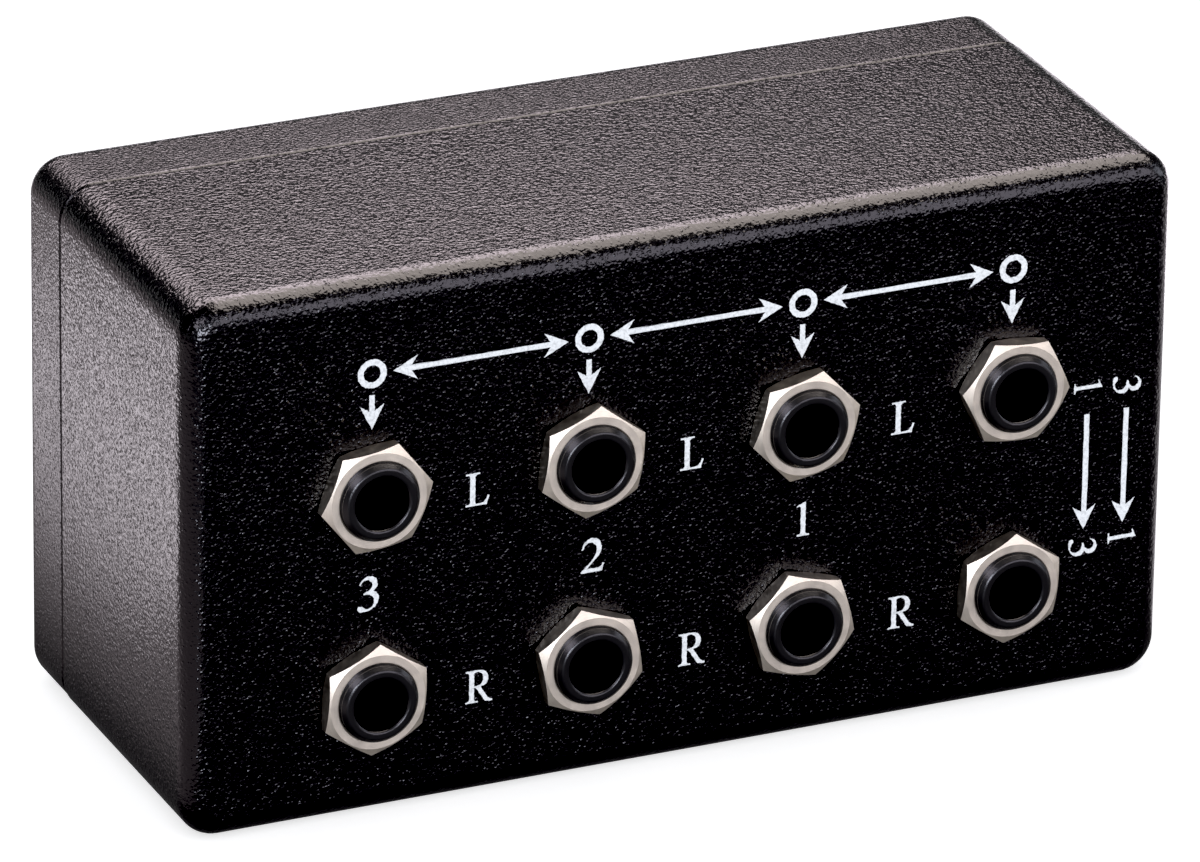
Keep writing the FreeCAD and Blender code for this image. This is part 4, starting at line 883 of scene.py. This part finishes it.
class SELECTOR_OT_studio(bpy.types.Operator):
    """Set the floor, the lights and the camera"""

    bl_idname = "selector.studio"
    bl_label = "Studio"

    def softbox(self, name, place, size, radiance, colour, way):
        """A soft light that only shows in reflections."""
        box_middle = Vector((0, 0, CAD_HIGH[2] / 2))
        light = bpy.data.lights.new(name, "AREA")
        light.shape = "RECTANGLE"
        light.size, light.size_y = size
        light.energy = radiance * WATTS_PER_RADIANCE * size[0] * size[1]
        light.color = colour
        lamp = bpy.data.objects.new(name, light)
        lamp.location = place
        lamp.rotation_mode = "QUATERNION"
        if way is None:
            way = box_middle - Vector(place)
        lamp.rotation_quaternion = way.to_track_quat("-Z", "Y")
        lamp.visible_camera = lamp.visible_diffuse = False
        bpy.context.scene.collection.objects.link(lamp)

    def square(self, name, reach, height, material):
        """A flat square for the stage, which reaches equally far each way."""
        corners = [(-reach, -reach), (reach, -reach), (reach, reach), (-reach, reach)]
        mesh = bpy.data.meshes.new(name)
        mesh.from_pydata([(x, y, height) for x, y in corners], [], [(0, 1, 2, 3)])
        mesh.materials.append(material)
        piece = bpy.data.objects.new(name, mesh)
        bpy.context.scene.collection.objects.link(piece)
        return piece

    def room(self, settings):
        """White where the camera looks past the floor, dim in glossy surfaces, soft elsewhere."""
        tint, white = (0.96, 0.97, 1.0, 1.0), 1.0
        world = bpy.data.worlds.new("room")
        world.use_nodes = True
        tree = world.node_tree
        tree.nodes.clear()
        path = tree.nodes.new("ShaderNodeLightPath")
        walls = []
        for strength in (settings.sky, settings.room, white):
            wall = tree.nodes.new("ShaderNodeBackground")
            wall.inputs["Color"].default_value = tint
            wall.inputs["Strength"].default_value = strength
            walls.append(wall.outputs["Background"])
        result = walls[0]
        for ray, other in (("Is Glossy Ray", walls[1]), ("Is Camera Ray", walls[2])):
            mix = tree.nodes.new("ShaderNodeMixShader")
            tree.links.new(path.outputs[ray], mix.inputs["Fac"])
            tree.links.new(result, mix.inputs[1])
            tree.links.new(other, mix.inputs[2])
            result = mix.outputs["Shader"]
        output = tree.nodes.new("ShaderNodeOutputWorld")
        tree.links.new(result, output.inputs["Surface"])
        bpy.context.scene.world = world

    def camera(self, settings):
        """The camera at the photograph's place."""
        camera = bpy.data.cameras.new("camera")
        camera.sensor_width = 36.0
        camera.lens = settings.lens
        camera.clip_start, camera.clip_end = 0.01, 50.0
        holder = bpy.data.objects.new("camera", camera)
        turn = Matrix.Rotation(math.radians(-settings.azimuth), 4, "Z")
        tilt = Matrix.Rotation(math.radians(90.0 - settings.tilt), 4, "X")
        roll = Matrix.Rotation(math.radians(settings.roll), 4, "Z")
        holder.matrix_world = Matrix.Translation(settings.place) @ turn @ tilt @ roll
        bpy.context.scene.collection.objects.link(holder)
        bpy.context.scene.camera = holder

    def execute(self, context):
        settings = context.scene.selector_studio
        table = paper("pale_paper", settings.table)
        self.square("floor", reach=6.0, height=0.0, material=table)
        dim = glow_card("dim_card", settings.card)
        card = self.square("shade_card", reach=1.5, height=0.3 * MM, material=dim)
        card.visible_camera = card.visible_diffuse = card.visible_shadow = False
        for name, place, size, colour, way in SOFTBOXES:
            self.softbox(name, place, size, getattr(settings, name), colour, way)
        self.room(settings)
        self.camera(settings)
        view = context.scene.view_settings
        view.view_transform = "Standard"
        view.use_curve_mapping = True
        view.curve_mapping.black_level = (settings.black,) * 3
        view.curve_mapping.update()
        return {"FINISHED"}


OPERATORS = (
    SELECTOR_OT_studio,
    SELECTOR_OT_case,
    SELECTOR_OT_jacks,
    SELECTOR_OT_switch,
    SELECTOR_OT_knob,
    SELECTOR_OT_front_print,
    SELECTOR_OT_lid_print,
)


class SELECTOR_PT_panel(bpy.types.Panel):
    """The selector's steps and settings"""

    bl_idname = "SELECTOR_PT_panel"
    bl_label = "Line level selector"
    bl_space_type = "VIEW_3D"
    bl_region_type = "UI"
    bl_category = "Selector"

    def draw(self, context):
        for operator in OPERATORS:
            self.layout.operator(operator.bl_idname)
        for group in SETTINGS:
            settings = getattr(context.scene, group)
            for name in settings.__annotations__:
                self.layout.prop(settings, name)


def register():
    for name, group in SETTINGS.items():
        bpy.utils.register_class(group)
        setattr(bpy.types.Scene, name, bpy.props.PointerProperty(type=group))
    for operator in OPERATORS:
        bpy.utils.register_class(operator)
    bpy.utils.register_class(SELECTOR_PT_panel)


def unregister():
    bpy.utils.unregister_class(SELECTOR_PT_panel)
    for operator in reversed(OPERATORS):
        bpy.utils.unregister_class(operator)
    for name, group in SETTINGS.items():
        delattr(bpy.types.Scene, name)
        bpy.utils.unregister_class(group)


def main():
    register()
    for operator in OPERATORS:
        area, step = operator.bl_idname.split(".")
        getattr(getattr(bpy.ops, area), step)()


if __name__ == "__main__":
    main()
